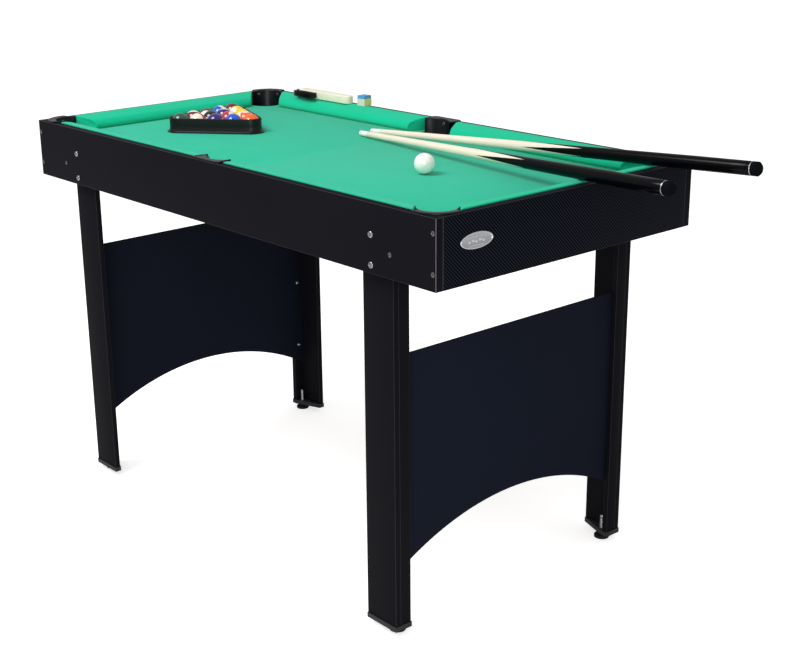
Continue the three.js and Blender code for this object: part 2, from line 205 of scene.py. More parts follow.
def add_turned(bm, profile, steps, place=Matrix(), uv_name="turned"):
    """profile is a list of (radius, height) from one end of the axis to the other, bottom first."""
    uv = bm.loops.layers.uv.get(uv_name) or bm.loops.layers.uv.new(uv_name)
    along = [0.0]
    for (r0, z0), (r1, z1) in zip(profile, profile[1:]):
        along.append(along[-1] + math.hypot(r1 - r0, z1 - z0))
    rings = []
    for r, z in profile:
        if r < ON_AXIS:
            rings.append([bm.verts.new(place @ Vector((0, 0, z)))])
            continue
        ring = [2 * math.pi * i / steps for i in range(steps)]
        rings.append([bm.verts.new(place @ Vector((r * math.cos(a), r * math.sin(a), z))) for a in ring])
    for k, (low, high) in enumerate(zip(rings, rings[1:])):
        for i in range(steps):
            j = (i + 1) % steps
            corners = [(low, i, k), (low, j, k), (high, j, k + 1), (high, i, k + 1)]
            seen, used = [], []
            for ring, at, row in corners:
                vert = ring[at % len(ring)]
                if vert in seen:
                    continue
                seen.append(vert)
                used.append(((i if at == i else i + 1) / steps, along[row]))
            if len(seen) < 3:
                continue
            face = bm.faces.new(seen)
            for loop, value in zip(face.loops, used):
                loop[uv].uv = value
    return bm


def smooth_profile(points, steps=6):
    """A Catmull-Rom curve through the given points."""
    out = []
    ends = [points[0], *points, points[-1]]
    for i in range(1, len(ends) - 2):
        p0, p1, p2, p3 = (Vector(ends[i + k]) for k in (-1, 0, 1, 2))
        for k in range(steps):
            t = k / steps
            a = 2 * p1 + (p2 - p0) * t + (2 * p0 - 5 * p1 + 4 * p2 - p3) * t**2
            b = (3 * p1 - p0 - 3 * p2 + p3) * t**3
            out.append(tuple((a + b) / 2))
    return [*out, tuple(points[-1])]

# %% [markdown]
# ## Finishes
# A finish is a node material. What several finishes need is a shader node group with named inputs,
# built once: soft mottling for anything that is moulded or printed, a napped weave for the cloth,
# and grain for bare wood. The groups only put out colours, values and heights. The shader itself
# stays in each material, where its plain numbers are set straight on its sockets.

# %% Small helpers for node trees
def new_group(name, inputs, outputs):
    """A shader node group; inputs are {name: default}, outputs {name: kind}."""
    tree = bpy.data.node_groups.new(name, "ShaderNodeTree")
    for label, value in inputs.items():
        kind = "NodeSocketColor" if isinstance(value, tuple) else "NodeSocketFloat"
        if value is None:
            kind = "NodeSocketVector"
        socket = tree.interface.new_socket(label, in_out="INPUT", socket_type=kind)
        if value is not None:
            socket.default_value = value
    for label, kind in outputs.items():
        tree.interface.new_socket(label, in_out="OUTPUT", socket_type=kind)
    return tree, tree.nodes.new("NodeGroupInput").outputs, tree.nodes.new("NodeGroupOutput").inputs


def node(tree, kind, sockets=None, **settings):
    """A node with its settings, and its sockets filled with numbers or linked to other sockets."""
    made = tree.nodes.new(kind)
    for key, value in settings.items():
        setattr(made, key, value)
    for key, value in (sockets or {}).items():
        if isinstance(value, bpy.types.NodeSocket):
            tree.links.new(value, made.inputs[key])
        else:
            made.inputs[key].default_value = value
    return made


def maths(tree, operation, *values):
    made = tree.nodes.new("ShaderNodeMath")
    made.operation = operation
    for socket, value in zip(made.inputs, values):
        if isinstance(value, bpy.types.NodeSocket):
            tree.links.new(value, socket)
        else:
            socket.default_value = value
    return made.outputs[0]


def blend_colours(tree, amount, first, second):
    made = node(tree, "ShaderNodeMix", data_type="RGBA")
    for key, value in ((0, amount), (6, first), (7, second)):
        if isinstance(value, bpy.types.NodeSocket):
            tree.links.new(value, made.inputs[key])
        else:
            made.inputs[key].default_value = (*value, 1)[:4] if isinstance(value, tuple) else value
    return made.outputs[2]


def rgb(r, g, b):
    """An sRGB colour, 0 to 255, as the linear numbers that a shader takes."""
    def linear(v):
        v /= 255
        return v / 12.92 if v <= 0.04045 else ((v + 0.055) / 1.055) ** 2.4

    return (linear(r), linear(g), linear(b))


def new_finish(name, roughness, metallic=0.0, specular=0.5, coat=0.0, coat_roughness=0.1):
    """A material with a Principled shader whose even values are set; returns it, its tree and shader."""
    material = bpy.data.materials.new(name)
    material.use_nodes = True
    shader = material.node_tree.nodes["Principled BSDF"]
    shader.inputs["Roughness"].default_value = roughness
    shader.inputs["Metallic"].default_value = metallic
    shader.inputs["Specular IOR Level"].default_value = specular
    shader.inputs["Coat Weight"].default_value = coat
    shader.inputs["Coat Roughness"].default_value = coat_roughness
    return material, material.node_tree, shader


def add_bump(tree, shader, height, strength, distance):
    bump = node(tree, "ShaderNodeBump", {"Height": height, "Strength": strength, "Distance": distance})
    tree.links.new(bump.outputs[0], shader.inputs["Normal"])


def place_of(tree, source="Object"):
    return tree.nodes.new("ShaderNodeTexCoord").outputs[source]


# %% [markdown]
# Mottling is the slight unevenness of a moulded or printed surface. A noise alone looks like clouds,
# so the group crosses a broad noise with a fine one, and gives a colour between two tints, a
# roughness between two values, and the fine noise as a height.

# %% The mottling group
mottle, given, puts = new_group(
    "mottling",
    {
        "Place": None, "Size": 0.05, "Grain": 0.0015, "Dark": (0, 0, 0, 1), "Light": (1, 1, 1, 1),
        "Smooth": 0.3, "Rough": 0.5,
    },
    {"Color": "NodeSocketColor", "Roughness": "NodeSocketFloat", "Height": "NodeSocketFloat"},
)
BROAD_SHARE, GRAIN_SHARE = 0.7, 0.3  # how much of the tint each noise decides
patches = maths(mottle, "DIVIDE", 1, given["Size"])
broad = node(mottle, "ShaderNodeTexNoise", {"Vector": given["Place"], "Scale": patches, "Detail": 4.0})
grains = maths(mottle, "DIVIDE", 1, given["Grain"])
grain = node(mottle, "ShaderNodeTexNoise", {"Vector": given["Place"], "Scale": grains, "Detail": 2.0})
fine_part = maths(mottle, "MULTIPLY", grain.outputs[0], GRAIN_SHARE)
share = maths(mottle, "MULTIPLY_ADD", broad.outputs[0], BROAD_SHARE, fine_part)
mottle.links.new(blend_colours(mottle, share, given["Dark"], given["Light"]), puts["Color"])
span = maths(mottle, "SUBTRACT", given["Rough"], given["Smooth"])
mottle.links.new(maths(mottle, "MULTIPLY_ADD", share, span, given["Smooth"]), puts["Roughness"])
mottle.links.new(grain.outputs[0], puts["Height"])
print("mottling group:", len(mottle.nodes), "nodes")


GRAIN_HEIGHT = 0.1 * MM


def use_mottle(tree, shader, size, grain_size, dark, light, smooth, rough, bump=0.0):
    """Puts the mottling group in a material and links its colour, roughness and height."""
    group = node(tree, "ShaderNodeGroup", node_tree=mottle)
    tree.links.new(place_of(tree), group.inputs["Place"])
    values = {"Size": size, "Grain": grain_size, "Smooth": smooth, "Rough": rough}
    for key, value in {**values, "Dark": (*dark, 1), "Light": (*light, 1)}.items():
        group.inputs[key].default_value = value
    tree.links.new(group.outputs["Color"], shader.inputs["Base Color"])
    tree.links.new(group.outputs["Roughness"], shader.inputs["Roughness"])
    if bump:
        add_bump(tree, shader, group.outputs["Height"], bump, GRAIN_HEIGHT)
    return group


def moulded(name, dark, light, smooth, rough, size=0.04, grain_size=0.8 * MM, bump=0.25, specular=0.5):
    material, tree, shader = new_finish(name, rough, specular=specular)
    use_mottle(tree, shader, size, grain_size, dark, light, smooth, rough, bump)
    return material


# %% [markdown]
# Most of the table is printed foil on board, and the rest is moulded plastic. Both are the mottling
# group with two tints and a roughness of their own, so each finish takes one call. What tells foil
# from plastic is how strongly it mirrors the white room, a plain number on the shader's own socket.

# %% Black laminate, the painted highlight on its edges, and plain foils
DULL, SATIN = 0.012, 0.22  # how strongly a printed foil and a moulded plastic mirror the room
laminate = moulded(
    "black_laminate", rgb(19, 18, 23), rgb(27, 26, 31), 0.42, 0.52, size=0.3, bump=0.12, specular=DULL
)
# Painted highlight: the laminate's edge finish is lighter than the laminate itself.
laminate_edge_painted_highlight = moulded(
    "laminate_edge_painted_highlight", rgb(30, 30, 34), rgb(52, 52, 57), 0.4, 0.55, size=0.02, specular=SATIN
)
# A pale painted highlight for the upright edges of the near apron.
upright_edge_painted_highlight = moulded(
    "upright_edge_painted_highlight", rgb(92, 93, 98), rgb(128, 129, 134), 0.4, 0.5, size=0.02, specular=SATIN
)
leg_laminate = moulded(
    "leg_laminate", rgb(19, 19, 23), rgb(27, 27, 31), 0.42, 0.52, size=0.3, bump=0.12, specular=DULL
)
panel_foil = moulded(
    "panel_foil", rgb(19, 23, 34), rgb(30, 34, 46), 0.5, 0.62, size=0.5, bump=0.2, specular=DULL
)
panel_edge = moulded("panel_edge", rgb(20, 22, 30), rgb(36, 38, 46), 0.5, 0.6, size=0.02, specular=DULL)
pocket_plastic = moulded(
    "pocket_plastic", rgb(10, 13, 16), rgb(18, 22, 26), 0.24, 0.36, size=0.02, bump=0.2, specular=SATIN
)
rack_plastic = moulded(
    "rack_plastic", rgb(12, 14, 15), rgb(20, 22, 23), 0.3, 0.42, size=0.03, bump=0.2, specular=SATIN
)
shoe_plastic = moulded(
    "shoe_plastic", rgb(36, 37, 40), rgb(54, 55, 59), 0.45, 0.6, size=0.02, bump=0.35, specular=SATIN
)
pad_plastic = moulded(
    "pad_plastic", rgb(10, 10, 11), rgb(20, 20, 21), 0.45, 0.6, size=0.01, bump=0.3, specular=SATIN
)
print("moulded and printed finishes:", len(bpy.data.materials))

# %% [markdown]
# The end aprons wear a foil that is printed and embossed like carbon fibre: a twill, whose slanting
# ribs are made of short floats. Two crossed waves make it. One wave runs across the ribs, the other
# chops each rib into floats, and a half-step shift from rib to rib gives the twill its stairs.

# %% The carbon foil
carbon_foil, tree, shader = new_finish("carbon_foil", 0.4, specular=DULL)
RIB = 6.2 * MM  # from rib to rib, measured level along the apron
WAVES = 2 * math.pi / RIB
RIB_SHARE, FLOAT_SHARE = 0.36, 0.14  # what the ribs and their floats add to the relief
place = node(tree, "ShaderNodeSeparateXYZ", {0: place_of(tree)})
slant = maths(tree, "ADD", place.outputs["Y"], place.outputs["Z"])
fall = maths(tree, "SUBTRACT", place.outputs["Y"], place.outputs["Z"])
rib = maths(tree, "SINE", maths(tree, "MULTIPLY", slant, WAVES))
half_step = maths(tree, "MULTIPLY", slant, WAVES / 2)
floats = maths(tree, "SINE", maths(tree, "MULTIPLY_ADD", fall, WAVES * 2, half_step))
chopped = maths(tree, "MULTIPLY_ADD", floats, FLOAT_SHARE, 0.5)
weave = maths(tree, "MULTIPLY_ADD", rib, RIB_SHARE, chopped)
ramp = node(tree, "ShaderNodeValToRGB", {0: weave})
ramp.color_ramp.elements[0].color = (*rgb(2, 3, 7), 1)
ramp.color_ramp.elements[0].position = 0.3
ramp.color_ramp.elements[1].color = (*rgb(34, 37, 46), 1)
ramp.color_ramp.elements[1].position = 0.85
tree.links.new(ramp.outputs[0], shader.inputs["Base Color"])
tree.links.new(maths(tree, "MULTIPLY_ADD", weave, -0.12, 0.5), shader.inputs["Roughness"])
add_bump(tree, shader, weave, 0.5, 0.15 * MM)

# %% [markdown]
# The cloth is a short-napped woollen or polyester felt. Close up it is a tight plain weave under a fuzz of
# fibres, and from a table's length away only a faint unevenness is left. What sells it is its sheen:
# fibre ends that stand up catch light from behind and wash the colour out towards the viewer. The shader
# has a little sheen, and the paler base colour of the bed's cloth paints more sheen in, so the flat bed
# looks paler than the upright noses of the cushions.

# %% The cloth
THREAD = 0.9 * MM  # from thread to thread
FUZZ = 2400.0  # fibre tufts to the metre
FUZZ_HEIGHT = 0.12 * MM


def make_cloth(name, deep, pale, sheen, nap=0.5):
    material, tree, shader = new_finish(name, 0.92, specular=0.15)
    shader.inputs["Sheen Weight"].default_value = sheen
    shader.inputs["Sheen Roughness"].default_value = 0.55
    shader.inputs["Sheen Tint"].default_value = (0.75, 1.0, 0.9, 1)
    group = use_mottle(tree, shader, 0.06, 1.1 * MM, deep, pale, 0.86, 0.96)
    where = place_of(tree)
    spots = node(tree, "ShaderNodeSeparateXYZ", {0: where})
    threads = []
    for axis in ("X", "Y", "Z"):
        across = maths(tree, "MULTIPLY", spots.outputs[axis], 2 * math.pi / THREAD)
        threads.append(maths(tree, "SINE", across))
    weave = maths(tree, "ADD", maths(tree, "MULTIPLY", threads[0], threads[1]), threads[2])
    fuzz = node(tree, "ShaderNodeTexNoise", {"Vector": where, "Scale": FUZZ, "Detail": 3.0})
    fibres = maths(tree, "ADD", fuzz.outputs[0], group.outputs["Height"])
    height = maths(tree, "MULTIPLY_ADD", weave, 0.12, fibres)
    add_bump(tree, shader, height, nap, FUZZ_HEIGHT)
    return material


# Painted sheen: this cloth's colour is paler and whiter than the rail cloth's, standing in for the wash of
# light on the flat cloth. The rail cloth is the plain deeper green.
sheen_painted_cloth_finish = make_cloth("cloth_green_painted_sheen", rgb(28, 176, 140), rgb(42, 188, 154), 0.12)
rail_cloth_finish = make_cloth("rail_cloth_green", rgb(6, 182, 138), rgb(14, 194, 150), 0.1)

# %% [markdown]
# Bare wood shows where nobody looks: the edges of the bed board, the beams and the underside. It is
# fibreboard, so it has no grain, only fine fibres. The brush's back and the cues' shafts are real
# wood, so their finish stretches a noise along the grain.

# %% Wood and fibreboard
wood, given, puts = new_group(
    "wood_grain",
    {"Place": None, "Grain": 0.002, "Pale": (1, 1, 1, 1), "Dark": (0, 0, 0, 1), "Contrast": 0.5},
    {"Color": "NodeSocketColor", "Height": "NodeSocketFloat"},
)
rings = maths(wood, "DIVIDE", 1, given["Grain"])
lines = node(
    wood, "ShaderNodeTexNoise", {"Vector": given["Place"], "Scale": rings, "Detail": 5.0, "Distortion": 0.6}
)
edges = node(wood, "ShaderNodeMapRange", {"Value": lines.outputs[0], "From Min": 0.35, "From Max": 0.7})
amount = maths(wood, "MULTIPLY", edges.outputs[0], given["Contrast"])
wood.links.new(blend_colours(wood, amount, given["Pale"], given["Dark"]), puts["Color"])
wood.links.new(lines.outputs[0], puts["Height"])


def use_wood(tree, place, grain_size, pale, dark, contrast):
    group = node(tree, "ShaderNodeGroup", node_tree=wood)
    tree.links.new(place, group.inputs["Place"])
    values = {"Grain": grain_size, "Pale": (*pale, 1), "Dark": (*dark, 1), "Contrast": contrast}
    for key, value in values.items():
        group.inputs[key].default_value = value
    return group.outputs["Color"], group.outputs["Height"]


fibreboard = moulded(
    "fibreboard", rgb(126, 98, 70), rgb(160, 130, 98), 0.75, 0.9, size=0.01, grain_size=0.5 * MM,
    bump=0.5, specular=0.2,
)
brush_wood, tree, shader = new_finish("brush_wood", 0.38)
stretch = node(tree, "ShaderNodeMapping", {"Vector": place_of(tree), "Scale": (0.08, 1, 1)})
colour, height = use_wood(tree, stretch.outputs[0], 1.6 * MM, rgb(244, 240, 220), rgb(222, 208, 170), 0.5)
tree.links.new(colour, shader.inputs["Base Color"])
add_bump(tree, shader, height, 0.1, GRAIN_HEIGHT)
print("wood finishes made")

# %% [markdown]
# The metals are zinc-plated and blackened steel, and the badge's bright alloy. A metal has no colour
# but that of its reflections, so the mottling group tints those, and its fine grain, a few tenths of
# a millimetre wide, roughens them as brushing does.

# %% Metals
def metal(name, colour, smooth, rough, brushed=0.2):
    material, tree, shader = new_finish(name, smooth, metallic=1.0)
    dark = tuple(0.8 * c for c in colour)
    use_mottle(tree, shader, 0.004, 0.4 * MM, dark, colour, smooth, rough, brushed)
    return material


zinc = metal("zinc_plating", (0.72, 0.73, 0.75), 0.2, 0.35)
bolt_steel = metal("bolt_steel", (0.34, 0.35, 0.37), 0.22, 0.34)
black_steel = metal("black_steel", (0.16, 0.16, 0.17), 0.35, 0.5)
badge_silver = metal("badge_silver", (0.80, 0.81, 0.84), 0.16, 0.3, 0.15)
badge_grey = metal("badge_grey", (0.58, 0.59, 0.62), 0.3, 0.46, 0.5)
print("metal finishes made")

# %% [markdown]
# ## The box
# Four aprons make the box: long ones of black laminate, and end ones with the carbon foil set
# between them. Each is a single board, so it is a bevelled box taken straight from its measured solid.
# The upright corners of the near long board get a pale painted highlight.

# %% Aprons
UPRIGHT = 0.1  # a bevel whose normal rises less than this runs up and down


def board(name, materials, edge=0.5 * MM, body="root"):
    """A bevelled board; a third material goes on the bevels of its upright edges."""
    low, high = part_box(name)
    bm = bmesh.new()
    add_box(bm, low, high)
    break_edges(bm, edge)
    bm.normal_update()
    for face in bm.faces:
        if len(materials) > 2 and face.material_index == 1 and abs(face.normal.z) < UPRIGHT:
            face.material_index = 2
    return piece(name + "_board", bm, materials, body, [name])


for which in ("near", "far"):
    # Painted highlight: only the near apron's upright edges get the pale edge finish.
    upright = upright_edge_painted_highlight if which == "near" else laminate_edge_painted_highlight
    board(f"side_apron_{which}", [laminate, laminate_edge_painted_highlight, upright], edge=0.7 * MM)
for which in ("left", "right"):
    board(f"end_apron_{which}", [carbon_foil, laminate_edge_painted_highlight])
for which in ("left", "right"):
    board(f"cross_beam_{which}", [fibreboard, fibreboard], edge=1.0 * MM)
print("4 aprons and 2 cross beams")

# %% [markdown]
# The badge is a stamped oval of bright metal with a raised rim round a duller field. It carries no
# words: five small domes in a zigzag stand out of the field between two bars. The oval is a stack of
# scaled ellipses, which keeps the rim even all round.

# %% Badge
def add_rings(bm, rings, steps, place):
    """Joins ellipses given as (half length, half height, level) and closes the last one."""
    loops = []
    for a, b, level in rings:
        angles = [2 * math.pi * i / steps for i in range(steps)]
        points = [place @ Vector((a * math.cos(t), b * math.sin(t), level)) for t in angles]
        loops.append([bm.verts.new(point) for point in points])
    for low, high in zip(loops, loops[1:]):
        for i in range(steps):
            j = (i + 1) % steps
            bm.faces.new((low[i], low[j], high[j], high[i]))
    bm.faces.new(loops[-1])
    bm.faces.new(reversed(loops[0]))
    return bm


badge_low, badge_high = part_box("badge")
half_long, half_high = (badge_high.y - badge_low.y) / 2, (badge_high.z - badge_low.z) / 2
thick = badge_high.x - badge_low.x
badge_middle = (badge_low + badge_high) / 2
badge_place = Matrix.Translation((badge_low.x, badge_middle.y, badge_middle.z))
badge_place @= Matrix(((0, 0, 1, 0), (1, 0, 0, 0), (0, 1, 0, 0), (0, 0, 0, 1)))
RIM_STEPS = 72
# How far in from the edge, in millimetres, and how high, as a share of the thickness.
RIM = [(0, 0), (0, 0.45), (0.3, 0.8), (1.1, 1.0), (2.0, 0.95), (2.6, 0.55), (3.0, 0.5)]
FIELD = 0.5 * thick
bm = bmesh.new()
rim_rings = [(half_long - i * MM, half_high - i * MM, s * thick) for i, s in RIM]
add_rings(bm, rim_rings, RIM_STEPS, badge_place)
bm.faces.ensure_lookup_table()
bm.faces[-2].material_index = 1
piece("badge_rim", bm, [badge_silver, badge_grey], "root", ["badge"], smooth=50)
DOME, DOME_RISE, DOME_STEP = 2.9 * MM, 1.0 * MM, 7.5 * MM
BARS_AT, BAR_HALF, BAR_THIN, BAR_RISE = (-7.6, 7.0), 15 * MM, 0.6, 0.5 * MM
bm = bmesh.new()
for k in range(-2, 3):
    turns = [math.radians(a) for a in (0, 20, 40, 60, 80)]
    dome = [(DOME * math.cos(a), DOME_RISE * math.sin(a)) for a in turns]
    lift = 1.0 if k % 2 else -1.0
    add_turned(bm, [*dome, (0, DOME_RISE)], 20, Matrix.Translation((DOME_STEP * k, lift * MM, FIELD)))
for rise in BARS_AT:
    low, high = (rise - BAR_THIN) * MM, (rise + BAR_THIN) * MM
    add_box(bm, (-BAR_HALF, low, FIELD), (BAR_HALF, high, FIELD + BAR_RISE))
piece("badge_motif", put(bm, badge_place), [badge_silver], "root")
print("badge")

# %% [markdown]
# ## Pockets
# Each pocket is one moulding: a cup below the bed, a liner that climbs the corner of the rails and a
# flat plate with a raised bead that laps over the aprons. Seen from above it is a fan about the cup's
# middle, so it is lofted in polar steps. Over the corner the section runs up to the plate, and over
# the table it stops at the bed, and the two are joined at the mouth's edges.

# %% A polar loft for a cup with a plate
def reach(outline, angle):
    """How far a ray from the origin goes before it leaves a closed outline."""
    dx, dy = math.cos(angle), math.sin(angle)
    far = 0.0
    for (x0, y0), (x1, y1) in zip(outline, outline[1:] + outline[:1]):
        ex, ey = x1 - x0, y1 - y0
        across = dx * ey - dy * ex
        if abs(across) < 1e-12:
            continue
        along, where = (x0 * ey - y0 * ex) / across, (x0 * dy - y0 * dx) / across
        if -1e-6 <= where <= 1 + 1e-6 and along > far:
            far = along
    return far


BEAD_ROOM = 7 * MM  # a plate narrower than this gets a bead and a lip drawn in to fit
BEAD = [(0, 0.9), (0.35, 0.25), (1.1, 0), (2.2, 0), (2.9, 0.7)]  # mm in from the plate's edge, mm down
LIP = [(2.6, 0.7), (1.2, 0.9), (0.3, 1.6), (0, 2.6)]  # mm out from the mouth, mm down


def add_pocket(bm, inner, outer, plate, mouth, levels, steps):
    """inner, outer and plate give a radius for an angle; mouth is (start, stop) of the raised part."""
    bottom, floor, rim, base, top = levels
    start, stop = mouth

    def section(angle, raised):
        r_in, r_out = inner(angle), outer(angle)
        edge = max(plate(angle), r_out + 0.01 * MM) if raised else r_out
        fit = min(1.0, (edge - r_in) / BEAD_ROOM)
        rows = [(r_out - 2 * MM, bottom), (r_out, bottom + 2 * MM)]
        if raised:
            rows += [(r_out, base), (edge, base)]
            rows += [(edge - inwards * MM * fit, top - down * MM) for inwards, down in BEAD]
            rows += [(r_in + outwards * MM * fit, top - down * MM) for outwards, down in LIP]
        else:
            rows += [(r_out, rim - 0.4 * MM)] * 3 + [(r_out - 0.4 * MM, rim)] * 4
            rows += [(r_in + 0.3 * MM, rim)] * 3 + [(r_in, rim - 0.4 * MM)]
        rows += [(r_in, floor + 5 * MM), (r_in - 1.5 * MM, floor + 1.5 * MM), (r_in - 5 * MM, floor)]
        turn = Vector((math.cos(angle), math.sin(angle), 0))
        return [bm.verts.new(turn * r + Vector((0, 0, z))) for r, z in rows]

    low_arc = 2 * math.pi - (stop - start)
    angles = [(start + (stop - start) * i / steps, True) for i in range(steps + 1)]
    angles += [(stop + low_arc * i / steps, False) for i in range(steps + 1)]
    columns = [section(*a) for a in angles]
    for left, right in zip(columns, columns[1:] + columns[:1]):
        for i in range(len(left) - 1):
            bm.faces.new((left[i], right[i], right[i + 1], left[i + 1]))
    bm.faces.new([c[-1] for c in columns])
    bm.faces.new([c[0] for c in reversed(columns)])
    bmesh.ops.remove_doubles(bm, verts=bm.verts, dist=0.004 * MM)
    bmesh.ops.dissolve_degenerate(bm, edges=bm.edges, dist=0.004 * MM)
    bmesh.ops.recalc_face_normals(bm, faces=bm.faces)
    return bm


# %% Corner pockets
corner_low, corner_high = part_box("pocket_right_far")
PLATE_RADIUS = 48 * MM
CORNER = Vector((corner_high.x - MID_X - PLATE_RADIUS, corner_high.y - PLATE_RADIUS, 0))
WALL_OUT = CORNER.x - (corner_low.x - MID_X)
WALL_IN = WALL_OUT - 2.1 * MM
BARE = 0.3 * MM  # the fine gap between a pocket and what it sits on
board_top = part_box("bed_board")[1].z
cup_levels = (corner_low.z, corner_low.z + 3 * MM, board_top - BARE, RAIL_TOP + BARE, corner_high.z)
INSIDE = INNER_Y - CORNER.y  # from the cup's middle to the apron's inner face
far_out = 2 * PLATE_RADIUS
horn = [(-24 * MM, 22 * MM), (-10 * MM, INSIDE), (-7 * MM, PLATE_RADIUS), (-7 * MM, far_out)]
horn.append((far_out, far_out))
corner_outline = [*horn, *[(y, x) for x, y in reversed(horn[:-1])], (-24 * MM, -24 * MM)]


def corner_plate(angle):
    return min(PLATE_RADIUS, reach(corner_outline, angle))


corner_mouth = (-math.pi / 4, 3 * math.pi / 4)
for name, (sx, sy) in QUARTERS.items():
    bm = add_pocket(
        bmesh.new(), lambda a: WALL_IN, lambda a: WALL_OUT, corner_plate, corner_mouth, cup_levels, 60
    )
    put(bm, table_place(sx, sy) @ Matrix.Translation(CORNER))
    made_name, nodes = f"corner_pocket_{name}", [f"pocket_{name}"]
    piece(made_name, bm, [pocket_plastic], "root", nodes, smooth=40)
print("4 corner pockets, cup radius", round(WALL_IN, 4))

# %% [markdown]
# A middle pocket is the same fan with another plan. Its back is an arc set into the side apron, its
# sides are straight, and its front swells into the table. The fan's middle sits on the line where
# the liner ends, so the raised half is exactly the half turn behind it.

# %% Middle pockets
middle_low, middle_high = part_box("pocket_middle_far")
ARC_RADIUS, HALF_MOUTH, HALF_ACROSS = 41.5 * MM, 35 * MM, 33 * MM
arc_y = INNER_Y - 43.3 * MM  # centre of the back arc
mouth_y = arc_y + math.sqrt(ARC_RADIUS**2 - HALF_MOUTH**2)
front_y, front_depth = middle_low.y + 28.5 * MM, 27 * MM
half_plate, plate_edge, chamfer = (middle_high.x - middle_low.x) / 2, middle_high.y, 6 * MM


def middle_plan(margin):
    """The mouth's outline about the fan's middle, grown by a margin."""
    side = math.degrees(math.acos(HALF_MOUTH / ARC_RADIUS))
    back = arc((0, arc_y - mouth_y), ARC_RADIUS + margin, side, 180 - side, 24)
    turns = [math.pi + math.pi * i / 36 for i in range(37)]
    across, deep = HALF_ACROSS + margin, front_depth + margin
    return back + [(across * math.cos(t), front_y - mouth_y + deep * math.sin(t)) for t in turns]


plate_half_plan = [
    (HALF_MOUTH, 0), (half_plate, INNER_Y - mouth_y), (half_plate, plate_edge - 5 * MM - mouth_y),
    (half_plate - chamfer, plate_edge - mouth_y),
]
plate_plan = [*plate_half_plan, *[(-x, y) for x, y in reversed(plate_half_plan)], (0, -1 * MM)]
mouth_plan, wall_plan = middle_plan(0), middle_plan(1.5 * MM)
for which, sy in (("far", 1), ("near", -1)):
    plans = [lambda a, plan=plan: reach(plan, a) for plan in (mouth_plan, wall_plan, plate_plan)]
    bm = add_pocket(bmesh.new(), *plans, (0, math.pi), cup_levels, 72)
    put(bm, table_place(1, sy) @ Matrix.Translation((0, mouth_y, 0)))
    made_name, nodes = f"middle_pocket_{which}", [f"pocket_middle_{which}"]
    piece(made_name, bm, [pocket_plastic], "root", nodes, smooth=40)
print("2 middle pockets")

# %% [markdown]
# ## Bed and cushions
# The bed is a sheet of cloth glued over a board and turned down at the six pockets. It is one flat
# outline with the pocket mouths cut out, and its edge rolls over in three small steps. Its real area
# is worked out from that outline and printed, because the mouths are missing from its rectangle.

# %% Bed cloth
cloth_low, cloth_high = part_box("bed_cloth")
half_x, half_y = cloth_high.x - MID_X, cloth_high.y
hole = WALL_OUT + 0.3 * MM


def quarter_edge():
    """The cloth's edge in the right far quarter, from the end's middle to the side's middle."""
    dx, dy = half_x - CORNER.x, half_y - CORNER.y
    edge = [(half_x, 0), (half_x, CORNER.y)]
    edge += [(CORNER.x + hole, CORNER.y)]
    edge += arc((CORNER.x, CORNER.y), hole, -8, -262, 40)
    edge += [(CORNER.x, CORNER.y + hole), (CORNER.x, half_y)]
    notch = HALF_MOUTH + 2.5 * MM
    edge += [(notch, half_y), (notch, front_y)]
    turns = [math.pi / 2 * i / 14 for i in range(15)]
    grown = 1.8 * MM
    across, deep = HALF_ACROSS + grown, front_depth + grown
    return edge + [(across * math.cos(t), front_y - deep * math.sin(t)) for t in turns]


quarter = quarter_edge()
edge = quarter[:-1] + [(-x, y) for x, y in reversed(quarter)]
edge = edge[:-1] + [(x, -y) for x, y in reversed(edge)][:-1]
edge = [p for p, q in zip(edge, edge[1:] + edge[:1]) if math.hypot(p[0] - q[0], p[1] - q[1]) > 0.2 * MM]


def inset(outline, distance):
    """Moves each corner of a counter-clockwise outline inwards."""
    out = []
    count = len(outline)
    for i in range(count):
        (ax, ay), (bx, by), (cx, cy) = outline[i - 1], outline[i], outline[(i + 1) % count]
        n0, n1 = Vector((ay - by, bx - ax)).normalized(), Vector((by - cy, cx - bx)).normalized()
        turn = (n0 + n1).normalized()
        share = max(turn.dot(n0), 0.5)
        out.append((bx + turn.x * distance / share, by + turn.y * distance / share))
    return out


ROLLED_EDGE = ((0, 1.7), (0, 1.1), (0.35, 0.35), (1.1, 0))  # mm inwards, mm down
bm = bmesh.new()
loops = []
for inwards, down in ROLLED_EDGE:
    ring = inset(edge, inwards * MM) if inwards else edge
    loops.append([bm.verts.new((x + MID_X, y, BED - down * MM)) for x, y in ring])
for low, high in zip(loops, loops[1:]):
    for i in range(len(low)):
        j = (i + 1) % len(low)
        bm.faces.new((low[i], low[j], high[j], high[i]))
top = bm.faces.new(loops[-1])
area = top.calc_area()
bmesh.ops.triangulate(bm, faces=[top], ngon_method="BEAUTY")
bed = piece("bed_cloth_sheet", bm, [sheen_painted_cloth_finish], "root", ["bed_cloth"], smooth=60)
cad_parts["bed_board"].data.materials.clear()
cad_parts["bed_board"].data.materials.append(fibreboard)
print(f"bed cloth of {area:.3f} square metres")

# %% [markdown]
# A cushion is a strip of rubber on a wooden rail, with the cloth drawn over both. In section its top
# falls gently from the apron and rolls over into a nose. The section is a smooth curve through a few
# points, swept along the rail. Each end is cut back on a slant, so the nose stops short of the pocket
# and a ball can come in at an angle. The cloth is folded round the cut, so the last rings draw in a
# little before the end is closed. The near cushions share the bed's paler cloth, whose colour carries
# painted sheen; the far and end ones take the deeper rail cloth.

